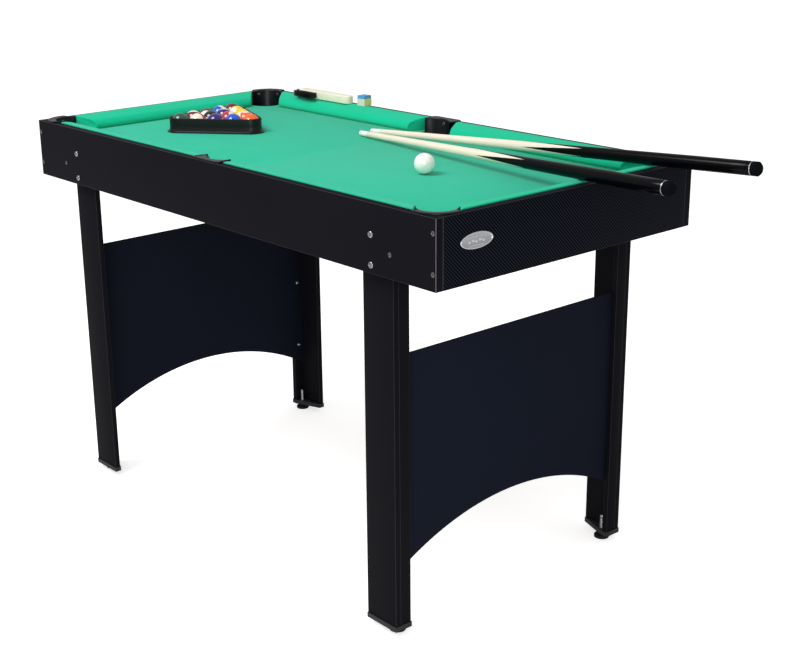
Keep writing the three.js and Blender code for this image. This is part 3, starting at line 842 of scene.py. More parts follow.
# %% Cushions
CUSHION_NODES = {
    "cushion_right_near": (1, -1), "cushion_right_far": (1, 1), "cushion_left_near": (-1, -1),
    "cushion_left_far": (-1, 1),
}
NOSE = 46 * MM
SECTION = [
    (0.4, 0.1), (0.4, 12), (0.4, 24.4), (1.0, 26.2), (2.8, 26.9), (12.5, 26.9), (19, 25.3), (27, 22.9),
    (33, 20.9), (37.8, 18.9), (41, 16.2), (43.8, 12.6), (45.6, 8.8), (45.9, 5.2), (44.6, 2.2), (42.4, 0.1),
]  # millimetres from the apron and above the rail's foot
CUT_MIDDLE, CUT_CORNER, CUT_END = 21.4 * MM, 40.7 * MM, 34.7 * MM  # how far the nose falls short of the back


TUCKS = [(0.0, 2.6), (0.25, 1.4), (0.9, 0.55), (2.2, 0.12), (4.5, 0.0)]  # mm from the end, mm drawn in
HEART = (22 * MM, 9 * MM)  # the point of the section that a tuck draws in to


def add_cushion(bm, start, stop, slants, steps=90):
    """A cushion along X. slants says how far the nose falls short of the back at each end."""
    section = [(s * MM, z * MM) for s, z in smooth_profile(SECTION, 4)]
    body = [start + 8 * MM + (stop - start - 16 * MM) * i / steps for i in range(steps + 1)]
    rings = [(start + d * MM, i) for d, i in TUCKS]
    rings += [(x, 0.0) for x in body]
    rings += [(stop - d * MM, i) for d, i in reversed(TUCKS)]
    loops = []
    for x, drawn in rings:
        loop = []
        done = (x - start) / (stop - start)
        for s, z in section:
            inward = Vector((HEART[0] - s, HEART[1] - z)).normalized() * drawn * MM
            across = s / NOSE
            slant = slants[0] * across * (1 - done) - slants[1] * across * done
            height = max(z + inward.y, 0.02 * MM)
            loop.append(bm.verts.new((x + slant, max(s + inward.x, 0.3 * MM), height)))
        loops.append(loop)
    count = len(section)
    for low, high in zip(loops, loops[1:]):
        for i in range(count):
            j = (i + 1) % count
            bm.faces.new((low[i], low[j], high[j], high[i]))
    bm.faces.new(reversed(loops[0]))
    bm.faces.new(loops[-1])
    bmesh.ops.recalc_face_normals(bm, faces=bm.faces)
    print(f"  cushion {stop - start:.3f} m long at its back")
    return bm


def finish_cushion(name, bm, rail_place, finish):
    made = piece(name + "_padding", put(bm, rail_place), [finish], "root", [name], smooth=50)


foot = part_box("cushion_right_far")[0].z
for name, (sx, sy) in CUSHION_NODES.items():
    # Painted sheen: the near cushions get the paler cloth that has the sheen painted into its colour.
    finish = rail_cloth_finish if sy > 0 else sheen_painted_cloth_finish
    low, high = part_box(name)
    ends = sorted(abs(x - MID_X) for x in (low.x, high.x))
    bm = add_cushion(bmesh.new(), ends[0], ends[1], (CUT_MIDDLE, CUT_CORNER))
    rail_place = table_place(sx, sy) @ Matrix.Translation((0, INNER_Y, foot))
    finish_cushion(name, bm, rail_place @ Matrix.Diagonal((1, -1, 1, 1)), finish)
for name, turn in (("cushion_end_right", 1), ("cushion_end_left", -1)):
    low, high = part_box(name)
    bm = add_cushion(bmesh.new(), low.y, high.y, (CUT_END, CUT_END))
    rail_place = Matrix.Translation((MID_X + turn * INNER_X, 0, foot))
    finish_cushion(name, bm, rail_place @ Matrix.Rotation(turn * math.pi / 2, 4, "Z"), rail_cloth_finish)

# %% [markdown]
# ## Legs, shoes and feet
# A leg is two boards joined at a right angle, the wide one bolted inside the side apron. The two are
# modelled as they are, one butted behind the other, so the joint shows as a fine line. The shoe is
# a moulded tray, taken from its measured solid with every edge rounded.

# %% Legs
WIDE, THICK = 73.8 * MM, 11 * MM
JOINT = 0.15 * MM  # the fine line between the two boards
LEG_EDGE = 0.45 * MM
for name, (sx, sy) in QUARTERS.items():
    low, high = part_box(f"leg_{name}")
    outer_x = high.x if sx > 0 else low.x
    outer_y = high.y if sy > 0 else low.y
    bm = bmesh.new()
    add_box(bm, (min(outer_x, outer_x - sx * WIDE), min(outer_y, outer_y - sy * THICK), low.z),
            (max(outer_x, outer_x - sx * WIDE), max(outer_y, outer_y - sy * THICK), high.z))
    depth = high.y - low.y
    inner = sorted((outer_y - sy * (THICK + JOINT), outer_y - sy * depth))
    across = sorted((outer_x - sx * JOINT, outer_x - sx * THICK))
    add_box(bm, (across[0], inner[0], low.z), (across[1], inner[1], high.z))
    break_edges(bm, LEG_EDGE)
    piece(f"leg_{name}_boards", bm, [leg_laminate, laminate_edge_painted_highlight], "root", [f"leg_{name}"])
    shoe = copy_of_node(f"shoe_{name}")
    break_edges(shoe, LEG_EDGE, sharper_than=40, highlight_bevels=False)
    piece(f"shoe_{name}_tray", shoe, [shoe_plastic], "root", [f"shoe_{name}"], smooth=45)
print("4 legs and their shoes")

# %% [markdown]
# The levelling foot is an M8 screw in a round pad. The thread is drawn as rings with its real pitch,
# because a ring reads the same as a helix at this size and stays a clean turned piece. The pad's
# finger grip is a row of ribs, set round it in the next step.

# %% Feet
PITCH = 1.25 * MM


def screw_profile(radius, low, high):
    profile = [(0, low), (radius - 0.6 * MM, low)]
    z = low + 0.5 * MM
    while z + PITCH < high - 0.5 * MM:
        profile += [(radius - 0.55 * MM, z), (radius, z + 0.4 * PITCH), (radius, z + 0.6 * PITCH)]
        z += PITCH
    return [*profile, (radius - 0.8 * MM, high), (0, high)]


# The pad's rim, in millimetres: how far in from its radius, and the height.
PAD_RIM = [(1.2, 0), (0.4, 0.3), (0, 1.1), (0, 4.6), (0.8, 5.8), (3, 6.5)]
for name in QUARTERS:
    stem, pad = f"foot_stem_{name}", f"foot_pad_{name}"
    low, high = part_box(stem)
    centre = Matrix.Translation(((low.x + high.x) / 2, (low.y + high.y) / 2, 0))
    bm = add_turned(bmesh.new(), screw_profile((high.x - low.x) / 2, low.z, high.z), 32, centre)
    piece(f"foot_screw_{name}", bm, [zinc], stem, [stem], smooth=25)
    low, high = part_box(pad)
    r, top = (high.x - low.x) / 2 - 0.4 * MM, high.z
    profile = [(0, 0), *[(r - inwards * MM, level * MM) for inwards, level in PAD_RIM]]
    profile += [(7.5 * MM, 6.9 * MM), (6.4 * MM, top), (0, top)]
    bm = add_turned(bmesh.new(), profile, 48, centre)
    piece(pad + "_disc", bm, [pad_plastic], pad, [pad], smooth=35)
print("4 levelling feet")

# %% [markdown]
# The end panels are thin boards between the legs. The foot edge is a single arc, so the outline is an
# arc and two corners, and the ends of the arc come from the panel's own measured box.

# %% End panels
ARC_RISE = 78 * MM
PANEL_EDGE = 0.4 * MM
for which, sx in (("right", 1), ("left", -1)):
    low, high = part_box(f"end_panel_{which}")
    half = high.y
    radius = (half**2 + ARC_RISE**2) / (2 * ARC_RISE)
    spread = math.degrees(math.asin(half / radius))
    foot_arc = arc((0, low.z + ARC_RISE - radius), radius, 90 + spread, 90 - spread, 64)
    bm = bmesh.new()
    add_prism(bm, foot_arc + [(half, high.z), (-half, high.z)], 0, high.x - low.x)
    upright_place = Matrix(((0, 0, 1, low.x), (1, 0, 0, 0), (0, 1, 0, 0), (0, 0, 0, 1)))
    bmesh.ops.transform(bm, matrix=upright_place, verts=bm.verts)
    break_edges(bm, PANEL_EDGE)
    panel = f"end_panel_{which}"
    piece(panel + "_board", bm, [panel_foil, panel_edge], "root", [panel])
print("2 end panels")

# %% [markdown]
# ## Fasteners
# The table is bolted and screwed together, and the heads show: bright cross-head bolts where the legs
# hang, and dark screws at the corners, at the beams and in the pocket liners. They all come from
# one Geometry Nodes tree, which copies a small piece onto points, turned to face each point's own
# direction. The same tree later sets the ribs of the feet and the bristles of the brush.

# %% A tree that sets a small piece on points
def copies_tree():
    tree = bpy.data.node_groups.new("copies_on_points", "GeometryNodeTree")
    make = tree.interface.new_socket
    make("Geometry", in_out="INPUT", socket_type="NodeSocketGeometry")
    make("Piece", in_out="INPUT", socket_type="NodeSocketObject")
    for label in ("Width", "Length", "Length spread", "Tilt", "Turn"):
        make(label, in_out="INPUT", socket_type="NodeSocketFloat")
    make("Seed", in_out="INPUT", socket_type="NodeSocketInt")
    make("Finish", in_out="INPUT", socket_type="NodeSocketMaterial")
    make("Geometry", in_out="OUTPUT", socket_type="NodeSocketGeometry")
    given, out = tree.nodes.new("NodeGroupInput"), tree.nodes.new("NodeGroupOutput")
    link = tree.links.new

    points = tree.nodes.new("GeometryNodeMeshToPoints")
    link(given.outputs["Geometry"], points.inputs["Mesh"])
    facing = tree.nodes.new("GeometryNodeInputNamedAttribute")
    facing.data_type = "FLOAT_VECTOR"
    facing.inputs["Name"].default_value = "facing"

    tilt = tree.nodes.new("FunctionNodeRandomValue")
    tilt.data_type = "FLOAT_VECTOR"
    less = tree.nodes.new("ShaderNodeMath")
    less.operation = "MULTIPLY"
    less.inputs[1].default_value = -1.0
    link(given.outputs["Tilt"], less.inputs[0])
    link(less.outputs[0], tilt.inputs["Min"])
    link(given.outputs["Tilt"], tilt.inputs["Max"])
    link(given.outputs["Seed"], tilt.inputs["Seed"])
    aim = tree.nodes.new("ShaderNodeVectorMath")
    link(facing.outputs["Attribute"], aim.inputs[0])
    link(tilt.outputs["Value"], aim.inputs[1])
    face_along = tree.nodes.new("FunctionNodeAlignRotationToVector")
    face_along.axis = "Z"
    link(aim.outputs[0], face_along.inputs["Vector"])

    turn = tree.nodes.new("FunctionNodeRandomValue")
    turn.data_type = "FLOAT"
    link(given.outputs["Turn"], turn.inputs[3])
    link(given.outputs["Seed"], turn.inputs["Seed"])
    spin = tree.nodes.new("FunctionNodeAxisAngleToRotation")
    spin.inputs["Axis"].default_value = (0, 0, 1)
    link(turn.outputs[1], spin.inputs["Angle"])
    both = tree.nodes.new("FunctionNodeRotateRotation")
    both.rotation_space = "LOCAL"
    link(face_along.outputs[0], both.inputs[0])
    link(spin.outputs[0], both.inputs[1])

    spread = tree.nodes.new("FunctionNodeRandomValue")
    spread.data_type = "FLOAT"
    shortest = tree.nodes.new("ShaderNodeMath")
    shortest.operation = "SUBTRACT"
    link(given.outputs["Length"], shortest.inputs[0])
    link(given.outputs["Length spread"], shortest.inputs[1])
    link(shortest.outputs[0], spread.inputs[2])
    link(given.outputs["Length"], spread.inputs[3])
    link(given.outputs["Seed"], spread.inputs["Seed"])
    size = tree.nodes.new("ShaderNodeCombineXYZ")
    link(given.outputs["Width"], size.inputs[0])
    link(given.outputs["Width"], size.inputs[1])
    link(spread.outputs[1], size.inputs[2])

    piece_info = tree.nodes.new("GeometryNodeObjectInfo")
    link(given.outputs["Piece"], piece_info.inputs["Object"])
    copies = tree.nodes.new("GeometryNodeInstanceOnPoints")
    link(points.outputs[0], copies.inputs["Points"])
    link(piece_info.outputs["Geometry"], copies.inputs["Instance"])
    link(both.outputs[0], copies.inputs["Rotation"])
    link(size.outputs[0], copies.inputs["Scale"])
    real = tree.nodes.new("GeometryNodeRealizeInstances")
    link(copies.outputs[0], real.inputs[0])
    paint = tree.nodes.new("GeometryNodeSetMaterial")
    link(real.outputs[0], paint.inputs["Geometry"])
    link(given.outputs["Finish"], paint.inputs["Material"])
    link(paint.outputs[0], out.inputs["Geometry"])
    return tree


COPIES = copies_tree()
SOCKETS = {s.name: s.identifier for s in COPIES.interface.items_tree if s.in_out == "INPUT"}


def set_copies(name, template, places, body, finish, slot=None, smooth=35, **sizes):
    """Copies of template on places, a list of (point, facing), as one plain mesh on one body."""
    carrier_mesh = bpy.data.meshes.new(name)
    carrier_mesh.from_pydata([tuple(p) for p, _ in places], [], [])
    facing = carrier_mesh.attributes.new("facing", "FLOAT_VECTOR", "POINT")
    facing.data.foreach_set("vector", [v for _, f in places for v in f])
    carrier = bpy.data.objects.new(name + "_points", carrier_mesh)
    bpy.context.collection.objects.link(carrier)
    modifier = carrier.modifiers.new("copies", "NODES")
    modifier.node_group = COPIES
    given = {"Piece": template, "Width": 1.0, "Length": 1.0, "Finish": finish, **sizes}
    for label, value in given.items():
        modifier[SOCKETS[label]] = value
    carrier.update_tag()
    bpy.context.view_layer.update()
    mesh = bpy.data.meshes.new_from_object(carrier.evaluated_get(bpy.context.evaluated_depsgraph_get()))
    bpy.data.objects.remove(carrier)
    bm = bmesh.new()
    bm.from_mesh(mesh)
    made = piece(name, bm, [finish], body, smooth=smooth)
    print(f"  {name}: {len(places)} copies, {len(made.data.polygons)} faces")
    return made

# %% [markdown]
# A screw head is a low dome with a cross recess. The recess is cut in the dome's grid: the faces near
# the two crossing lines are pushed down. One template of unit size serves every screw.

# %% A cross-head screw
# The head from its rim up, as shares of its radius and of its rise.
HEAD = [(1, -0.3), (1, 0.15), (0.93, 0.55), (0.75, 0.85), (0.5, 1), (0.28, 1.05)]


def screw_head(name, radius, rise, steps=40):
    bm = bmesh.new()
    turns = [2 * math.pi * i / steps for i in range(steps)]
    loops = []
    for wide, high in HEAD:
        r, z = wide * radius, high * rise
        loops.append([bm.verts.new((r * math.cos(t), r * math.sin(t), z)) for t in turns])
    for low, high in zip(loops, loops[1:]):
        for i in range(steps):
            j = (i + 1) % steps
            bm.faces.new((low[i], low[j], high[j], high[i]))
    bm.faces.new(reversed(loops[0]))
    bm.faces.new(loops[-1])
    slot_half, slot_reach = 0.13 * radius, 0.6 * radius
    for vert in bm.verts:
        near_cross = min(abs(vert.co.x), abs(vert.co.y)) < slot_half
        if near_cross and vert.co.z > 0.3 * rise and vert.co.xy.length < slot_reach:
            vert.co.z -= 0.7 * rise
    mesh = bpy.data.meshes.new(name)
    bm.to_mesh(mesh)
    bm.free()
    return bpy.data.objects.new(name, mesh)


bolt_template = screw_head("bolt_template", 8 * MM, 2.2 * MM)
screw_template = screw_head("screw_template", 4.6 * MM, 1.1 * MM)
BOLT_X, BOLT_Z = 459.5 * MM, (706.5 * MM, 656.8 * MM)
BEAM_SCREW = (505 * MM, 682 * MM)
CORNER_X, CORNER_Z = 603 * MM, (734 * MM, 670 * MM)
SUNK = 0.5 * MM
bolts, screws = [], []
for sx, sy in QUARTERS.values():
    face, out = sy * (HALF_WIDTH - SUNK), (0, sy, 0)
    bolts += [((MID_X + sx * BOLT_X, face, z), out) for z in BOLT_Z]
    screws += [((MID_X + sx * CORNER_X, face, z), out) for z in CORNER_Z]
    screws.append(((MID_X + sx * BEAM_SCREW[0], face, BEAM_SCREW[1]), out))
FULL_TURN = 6.28
flat = {"Turn": FULL_TURN, "Seed": 4}
set_copies("leg_bolts", bolt_template, bolts, "root", bolt_steel, "zinc_steel", Width=0.72, **flat)
set_copies("apron_screws", screw_template, screws, "root", black_steel, Width=0.95, **flat)

PANEL_SCREW_Y, PANEL_SCREW_LEVELS = 266 * MM, (0.47, 0.315, 0.16)
LINER_TURNS = [math.radians(4), math.radians(86)]
liner, panel_screws = [], []
for sx, sy in QUARTERS.values():
    for turn in LINER_TURNS:
        level = RAIL_TOP - 7 * MM
        way = Vector((sx * math.cos(turn), sy * math.sin(turn), 0))
        at = Vector((MID_X + sx * CORNER.x, sy * CORNER.y, level)) + way * (WALL_IN - 0.1 * MM)
        liner.append((tuple(at), tuple(-way)))
    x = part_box("end_panel_right")[0].x if sx > 0 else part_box("end_panel_left")[1].x
    for level in PANEL_SCREW_LEVELS:
        panel_screws.append(((x, sy * PANEL_SCREW_Y, level), (-sx, 0, 0)))
for sy in (1, -1):
    liner.append(((MID_X, sy * (arc_y + ARC_RADIUS - 0.1 * MM), RAIL_TOP - 8 * MM), (0, -sy, 0)))
set_copies("liner_screws", screw_template, liner, "root", black_steel, Width=0.75, **flat)
set_copies("panel_screws", screw_template, panel_screws, "root", zinc, Width=0.8, **flat)

# %% [markdown]
# The rim of a levelling foot is ribbed so that fingers can turn it. One small bevelled block is the
# rib, and the same tree sets a ring of them round each rim, standing out from it.

# %% Ribs round the feet
rib_bm = bmesh.new()
add_box(rib_bm, (-0.5 * MM, -0.1 * MM, -1.6 * MM), (0.5 * MM, 0.35 * MM, 1.6 * MM))
bmesh.ops.bevel(rib_bm, geom=rib_bm.edges[:], offset=0.15 * MM, segments=1, affect="EDGES")
rib_bm.transform(Matrix.Rotation(-math.pi / 2, 4, "X"))
rib_mesh = bpy.data.meshes.new("rib")
rib_bm.to_mesh(rib_mesh)
rib_bm.free()
rib_template = bpy.data.objects.new("rib_template", rib_mesh)
RIBS, RIB_LEVEL = 24, 2.9 * MM
for name in QUARTERS:
    low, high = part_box(f"foot_pad_{name}")
    cx, cy, r = (low.x + high.x) / 2, (low.y + high.y) / 2, (high.x - low.x) / 2 - 0.5 * MM
    turns = [2 * math.pi * i / RIBS for i in range(RIBS)]
    ways = [(math.cos(t), math.sin(t), 0) for t in turns]
    places = [((cx + r * way[0], cy + r * way[1], RIB_LEVEL), way) for way in ways]
    pad = f"foot_pad_{name}"
    set_copies(pad + "_ribs", rib_template, places, pad, pad_plastic, "pocket_plastic")

# %% [markdown]
# ## Balls
# The balls are cast resin: seven plain ones, a black one and seven with a white ground and a broad
# band, each with a white spot. The pattern is part of the material, so it has to know which way each
# ball lies. Each ball's mesh carries its own unit direction as an attribute, written before the ball
# is turned, and the finish reads the band and the spots from it.

# %% The ball finish
ball_group, given, puts = new_group(
    "ball_pattern",
    {"Direction": None, "Ground": (1, 1, 1, 1), "Band": (1, 0, 0, 1), "Half band": 0.55, "Spot": 0.9},
    {"Color": "NodeSocketColor"},
)
parts = node(ball_group, "ShaderNodeSeparateXYZ", {0: given["Direction"]})
up_or_down = maths(ball_group, "ABSOLUTE", parts.outputs["Z"])
band_edge = maths(ball_group, "SUBTRACT", given["Half band"], up_or_down)
in_band = maths(ball_group, "MULTIPLY", maths(ball_group, "ADD", band_edge, 0.006), 80)
in_band = node(ball_group, "ShaderNodeClamp", {0: in_band}).outputs[0]
spot_edge = maths(ball_group, "SUBTRACT", maths(ball_group, "ABSOLUTE", parts.outputs["X"]), given["Spot"])
in_spot = node(ball_group, "ShaderNodeClamp", {0: maths(ball_group, "MULTIPLY", spot_edge, 120)}).outputs[0]
painted = blend_colours(ball_group, in_band, given["Ground"], given["Band"])
painted = blend_colours(ball_group, in_spot, painted, (0.80, 0.78, 0.70))
ball_group.links.new(painted, puts["Color"])
IVORY = rgb(238, 232, 214)
BALL_COLOURS = {
    "yellow": rgb(246, 206, 24), "blue": rgb(18, 84, 204), "red": rgb(196, 30, 36),
    "violet": rgb(44, 20, 112), "orange": rgb(250, 98, 14), "green": rgb(8, 84, 68),
    "maroon": rgb(104, 18, 34), "black": rgb(10, 10, 12),
}


def ball_finish(name, ground, band, half_band, spot=0.9):
    material, tree, shader = new_finish(name, 0.09, coat=0.6, coat_roughness=0.03)
    direction = node(tree, "ShaderNodeAttribute", attribute_name="direction")
    group = node(tree, "ShaderNodeGroup", node_tree=ball_group)
    tree.links.new(direction.outputs["Vector"], group.inputs["Direction"])
    values = {"Ground": (*ground, 1), "Band": (*band, 1), "Half band": half_band, "Spot": spot}
    for key, value in values.items():
        group.inputs[key].default_value = value
    scuffs = node(tree, "ShaderNodeTexNoise", {"Vector": place_of(tree), "Scale": 260.0, "Detail": 4.0})
    tint = node(tree, "ShaderNodeMapRange", {"Value": scuffs.outputs[0], "To Min": 0.93, "To Max": 1.04})
    shade = node(tree, "ShaderNodeVectorMath", operation="SCALE")
    tree.links.new(group.outputs[0], shade.inputs[0])
    tree.links.new(tint.outputs[0], shade.inputs["Scale"])
    tree.links.new(shade.outputs[0], shader.inputs["Base Color"])
    rough = node(tree, "ShaderNodeMapRange", {"Value": scuffs.outputs[0], "To Min": 0.06, "To Max": 0.16})
    tree.links.new(rough.outputs[0], shader.inputs["Roughness"])
    return material


print("ball colours:", ", ".join(BALL_COLOURS))

# %% [markdown]
# A ball is a turned half circle, so it is round and has no seam. The rack is a list of rows from its
# apex back, each ball with its colour, whether it is banded, and the three turns that say how it lies.

# %% The racked balls and the cue ball
# Each row is a ball of the rack from its apex back: colour, banded or plain, and how it lies.
RACK_ORDER = [
    ("orange", False, (0, 0, 120)),
    ("blue", False, (0, 5, 25)), ("orange", True, (0, -90, 50)),
    ("violet", False, (10, -5, 28)), ("red", False, (0, -50, 10)), ("yellow", True, (90, -30, -70)),
    ("red", True, (62, 0, 35)), ("black", False, (0, 0, 120)), ("violet", True, (-35, 0, 50)),
    ("yellow", False, (0, -45, -75)),
    ("green", False, (0, 0, 130)), ("maroon", True, (-30, 0, 50)), ("green", True, (90, -50, -80)),
    ("blue", True, (-40, 15, 20)), ("maroon", False, (0, 0, 130)),
]
BALL_PROFILE_STEPS = 36
HALF_BAND = 0.58  # the band's half width, as a share of the ball's radius


def make_ball(name, low, high, finish, lies, body, nodes):
    centre, radius = (low + high) / 2, (high.z - low.z) / 2
    angles = [math.pi * i / BALL_PROFILE_STEPS for i in range(BALL_PROFILE_STEPS + 1)]
    profile = [(radius * math.sin(a) if 0 < i < BALL_PROFILE_STEPS else 0, -radius * math.cos(a))
               for i, a in enumerate(angles)]
    bm = add_turned(bmesh.new(), profile, 2 * BALL_PROFILE_STEPS)
    direction = bm.verts.layers.float_vector.new("direction")
    for vert in bm.verts:
        vert[direction] = vert.co.normalized()
    turned = Matrix.Rotation(math.radians(lies[0]), 4, "X") @ Matrix.Rotation(math.radians(lies[1]), 4, "Y")
    turned = Matrix.Rotation(math.radians(lies[2]), 4, "Z") @ turned
    bm.transform(Matrix.Translation(centre) @ turned)
    return piece(name, bm, [finish], body, nodes, smooth=60)


for index, (colour, banded, lies) in enumerate(RACK_ORDER, 1):
    tint = BALL_COLOURS[colour]
    kind, ground = ("banded", IVORY) if banded else ("plain", tint)
    finish = ball_finish(f"ball_{colour}_{kind}", ground, tint, HALF_BAND)
    low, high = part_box(f"ball_{index}")
    slot, nodes = f"ball_{colour}", [f"ball_{index}"]
    make_ball(f"racked_ball_{index}", low, high, finish, lies, "racked_balls", nodes)
WHITE = rgb(252, 250, 242)
NO_BAND, NO_SPOT = 2.0, 1.5  # past the ball's surface, so neither is drawn
cue_ball_finish = ball_finish("cue_ball_ivory", WHITE, WHITE, NO_BAND, spot=NO_SPOT)
low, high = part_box("cue_ball")
make_ball("cue_ball_resin", low, high, cue_ball_finish, (20, 10, 0), "cue_ball", ["cue_ball"])
print(len(RACK_ORDER), "racked balls and the cue ball")

# %% [markdown]
# The triangle is a thin moulded wall with a foot that spreads outwards. Its plan is the path round the
# three corner balls, so the wall is a section carried round that path: every point of the section is
# the corner ball's place, pushed out by its own distance.

# %% The triangle
corners = [(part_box(f"ball_{i}")[0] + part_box(f"ball_{i}")[1]) / 2 for i in (1, 15, 11)]
heart = sum(corners, Vector()) / 3
ball_radius = (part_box("ball_1")[1].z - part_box("ball_1")[0].z) / 2
rack_low, rack_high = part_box("ball_rack")
inside, wall, flange = ball_radius + 0.5 * MM, 3 * MM, 5.5 * MM
height = rack_high.z - rack_low.z
thick, rise = wall / MM, height / MM
toe = thick + flange / MM
rack_section = [
    (0, 0.2), (0.2, 0), (toe - 0.6, 0), (toe, 0.5), (toe, 1.5), (toe - 0.6, 2.0), (thick + 1.4, 2.5),
    (thick + 0.2, 4.0), (thick - 0.4, 15), (thick - 0.1, rise - 1.4), (thick - 0.5, rise - 0.4),
    (thick - 1.2, rise), (0.9, rise), (0.2, rise - 0.5), (0, rise - 1.2),
]  # millimetres out from the balls and up from the cloth
bm = bmesh.new()
stations = []
for k, corner in enumerate(corners):
    out = math.atan2((corner - heart).y, (corner - heart).x)
    for i in range(17):
        stations.append((corner, out + math.radians(-60 + 120 * i / 16)))
    after, out_next = corners[(k + 1) % 3], out + math.radians(60)
    for i in range(1, 12):
        stations.append((corner.lerp(after, i / 12), out_next))
loops = []
for centre, turn in stations:
    way = Vector((math.cos(turn), math.sin(turn), 0))
    base = Vector((centre.x, centre.y, rack_low.z))
    ring = [base + way * (inside + r * MM) + Vector((0, 0, z * MM)) for r, z in rack_section]
    loops.append([bm.verts.new(point) for point in ring])
for left, right in zip(loops, loops[1:] + loops[:1]):
    for i in range(len(rack_section)):
        j = (i + 1) % len(rack_section)
        bm.faces.new((left[i], right[i], right[j], left[j]))
bmesh.ops.recalc_face_normals(bm, faces=bm.faces)
piece("triangle_wall", bm, [rack_plastic], "ball_rack", ["ball_rack"], smooth=40)
print("triangle", round((rack_high - rack_low).x, 3), "m long")

# %% [markdown]
# ## Cues
# A cue is turned from a pale hardwood shaft spliced into a black butt: four black points run up into
# the pale wood. The finish works on the UV map of the turning, u round the cue and v along it, so
# the splices are a zigzag in u against v. The ends are pieces of their own: tip, ferrule, ring, bumper.

# %% The cue finishes
SPLICE_START, SPLICE_END = 0.395, 0.548  # metres from the tip: the points' ends, then all black
POINTS, SHARPNESS = 4, 60  # black points round the cue, and how crisp their edges are
cue_finish, tree, shader = new_finish("cue_shaft_and_butt", 0.3, specular=0.1)
uv = node(tree, "ShaderNodeSeparateXYZ", {0: node(tree, "ShaderNodeUVMap", uv_map="turned").outputs[0]})
zigzag = maths(tree, "PINGPONG", maths(tree, "MULTIPLY", uv.outputs["X"], POINTS), 0.5)
splice = {"From Min": SPLICE_START, "From Max": SPLICE_END, "To Min": -0.02, "To Max": 0.53}
reached = node(tree, "ShaderNodeMapRange", {"Value": uv.outputs["Y"], **splice})
past_zigzag = maths(tree, "SUBTRACT", reached.outputs[0], zigzag)
black_part = node(tree, "ShaderNodeClamp", {0: maths(tree, "MULTIPLY", past_zigzag, SHARPNESS)})
round_it = maths(tree, "MULTIPLY", uv.outputs["X"], 0.05)
along_it = maths(tree, "MULTIPLY", uv.outputs["Y"], 0.06)
grain_at = node(tree, "ShaderNodeCombineXYZ", {0: round_it, 1: along_it}).outputs[0]
colour, height_map = use_wood(tree, grain_at, 2.5 * MM, rgb(240, 229, 212), rgb(226, 210, 186), 0.6)
painted = blend_colours(tree, black_part.outputs[0], colour, rgb(5, 5, 7))
tree.links.new(painted, shader.inputs["Base Color"])
gloss = node(tree, "ShaderNodeMapRange", {"Value": black_part.outputs[0], "To Min": 0.34, "To Max": 0.2})
tree.links.new(gloss.outputs[0], shader.inputs["Roughness"])
add_bump(tree, shader, height_map, 0.05, GRAIN_HEIGHT)
ferrule_plastic = moulded("ferrule_plastic", rgb(236, 236, 230), rgb(250, 250, 246), 0.2, 0.3, size=0.01)
tip_leather = moulded("tip_leather", rgb(206, 214, 216), rgb(232, 238, 238), 0.7, 0.85, size=0.004, bump=0.6)
bumper_rubber = moulded(
    "bumper_rubber", rgb(10, 12, 17), rgb(16, 18, 24), 0.55, 0.7, size=0.006, bump=0.3, specular=DULL
)


def axis_of(node_name):
    """The two ends of a turned node's axis, from the rings of vertices at its ends."""
    points = [v.co.copy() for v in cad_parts[node_name].data.vertices]
    low = min(points, key=lambda p: p.x)
    high = max(points, key=lambda p: p.x)
    for _ in range(4):
        way = (high - low).normalized()
        along = [p.dot(way) for p in points]
        first, last = min(along), max(along)
        ends = []
        near_first, near_last = (lambda t: t < first + 0.2 * MM), (lambda t: t > last - 0.2 * MM)
        for keep in (near_first, near_last):
            group = {tuple(round(c, 6) for c in p) for p, t in zip(points, along) if keep(t)}
            ends.append(sum((Vector(g) for g in group), Vector()) / len(group))
        low, high = ends
    return low, high


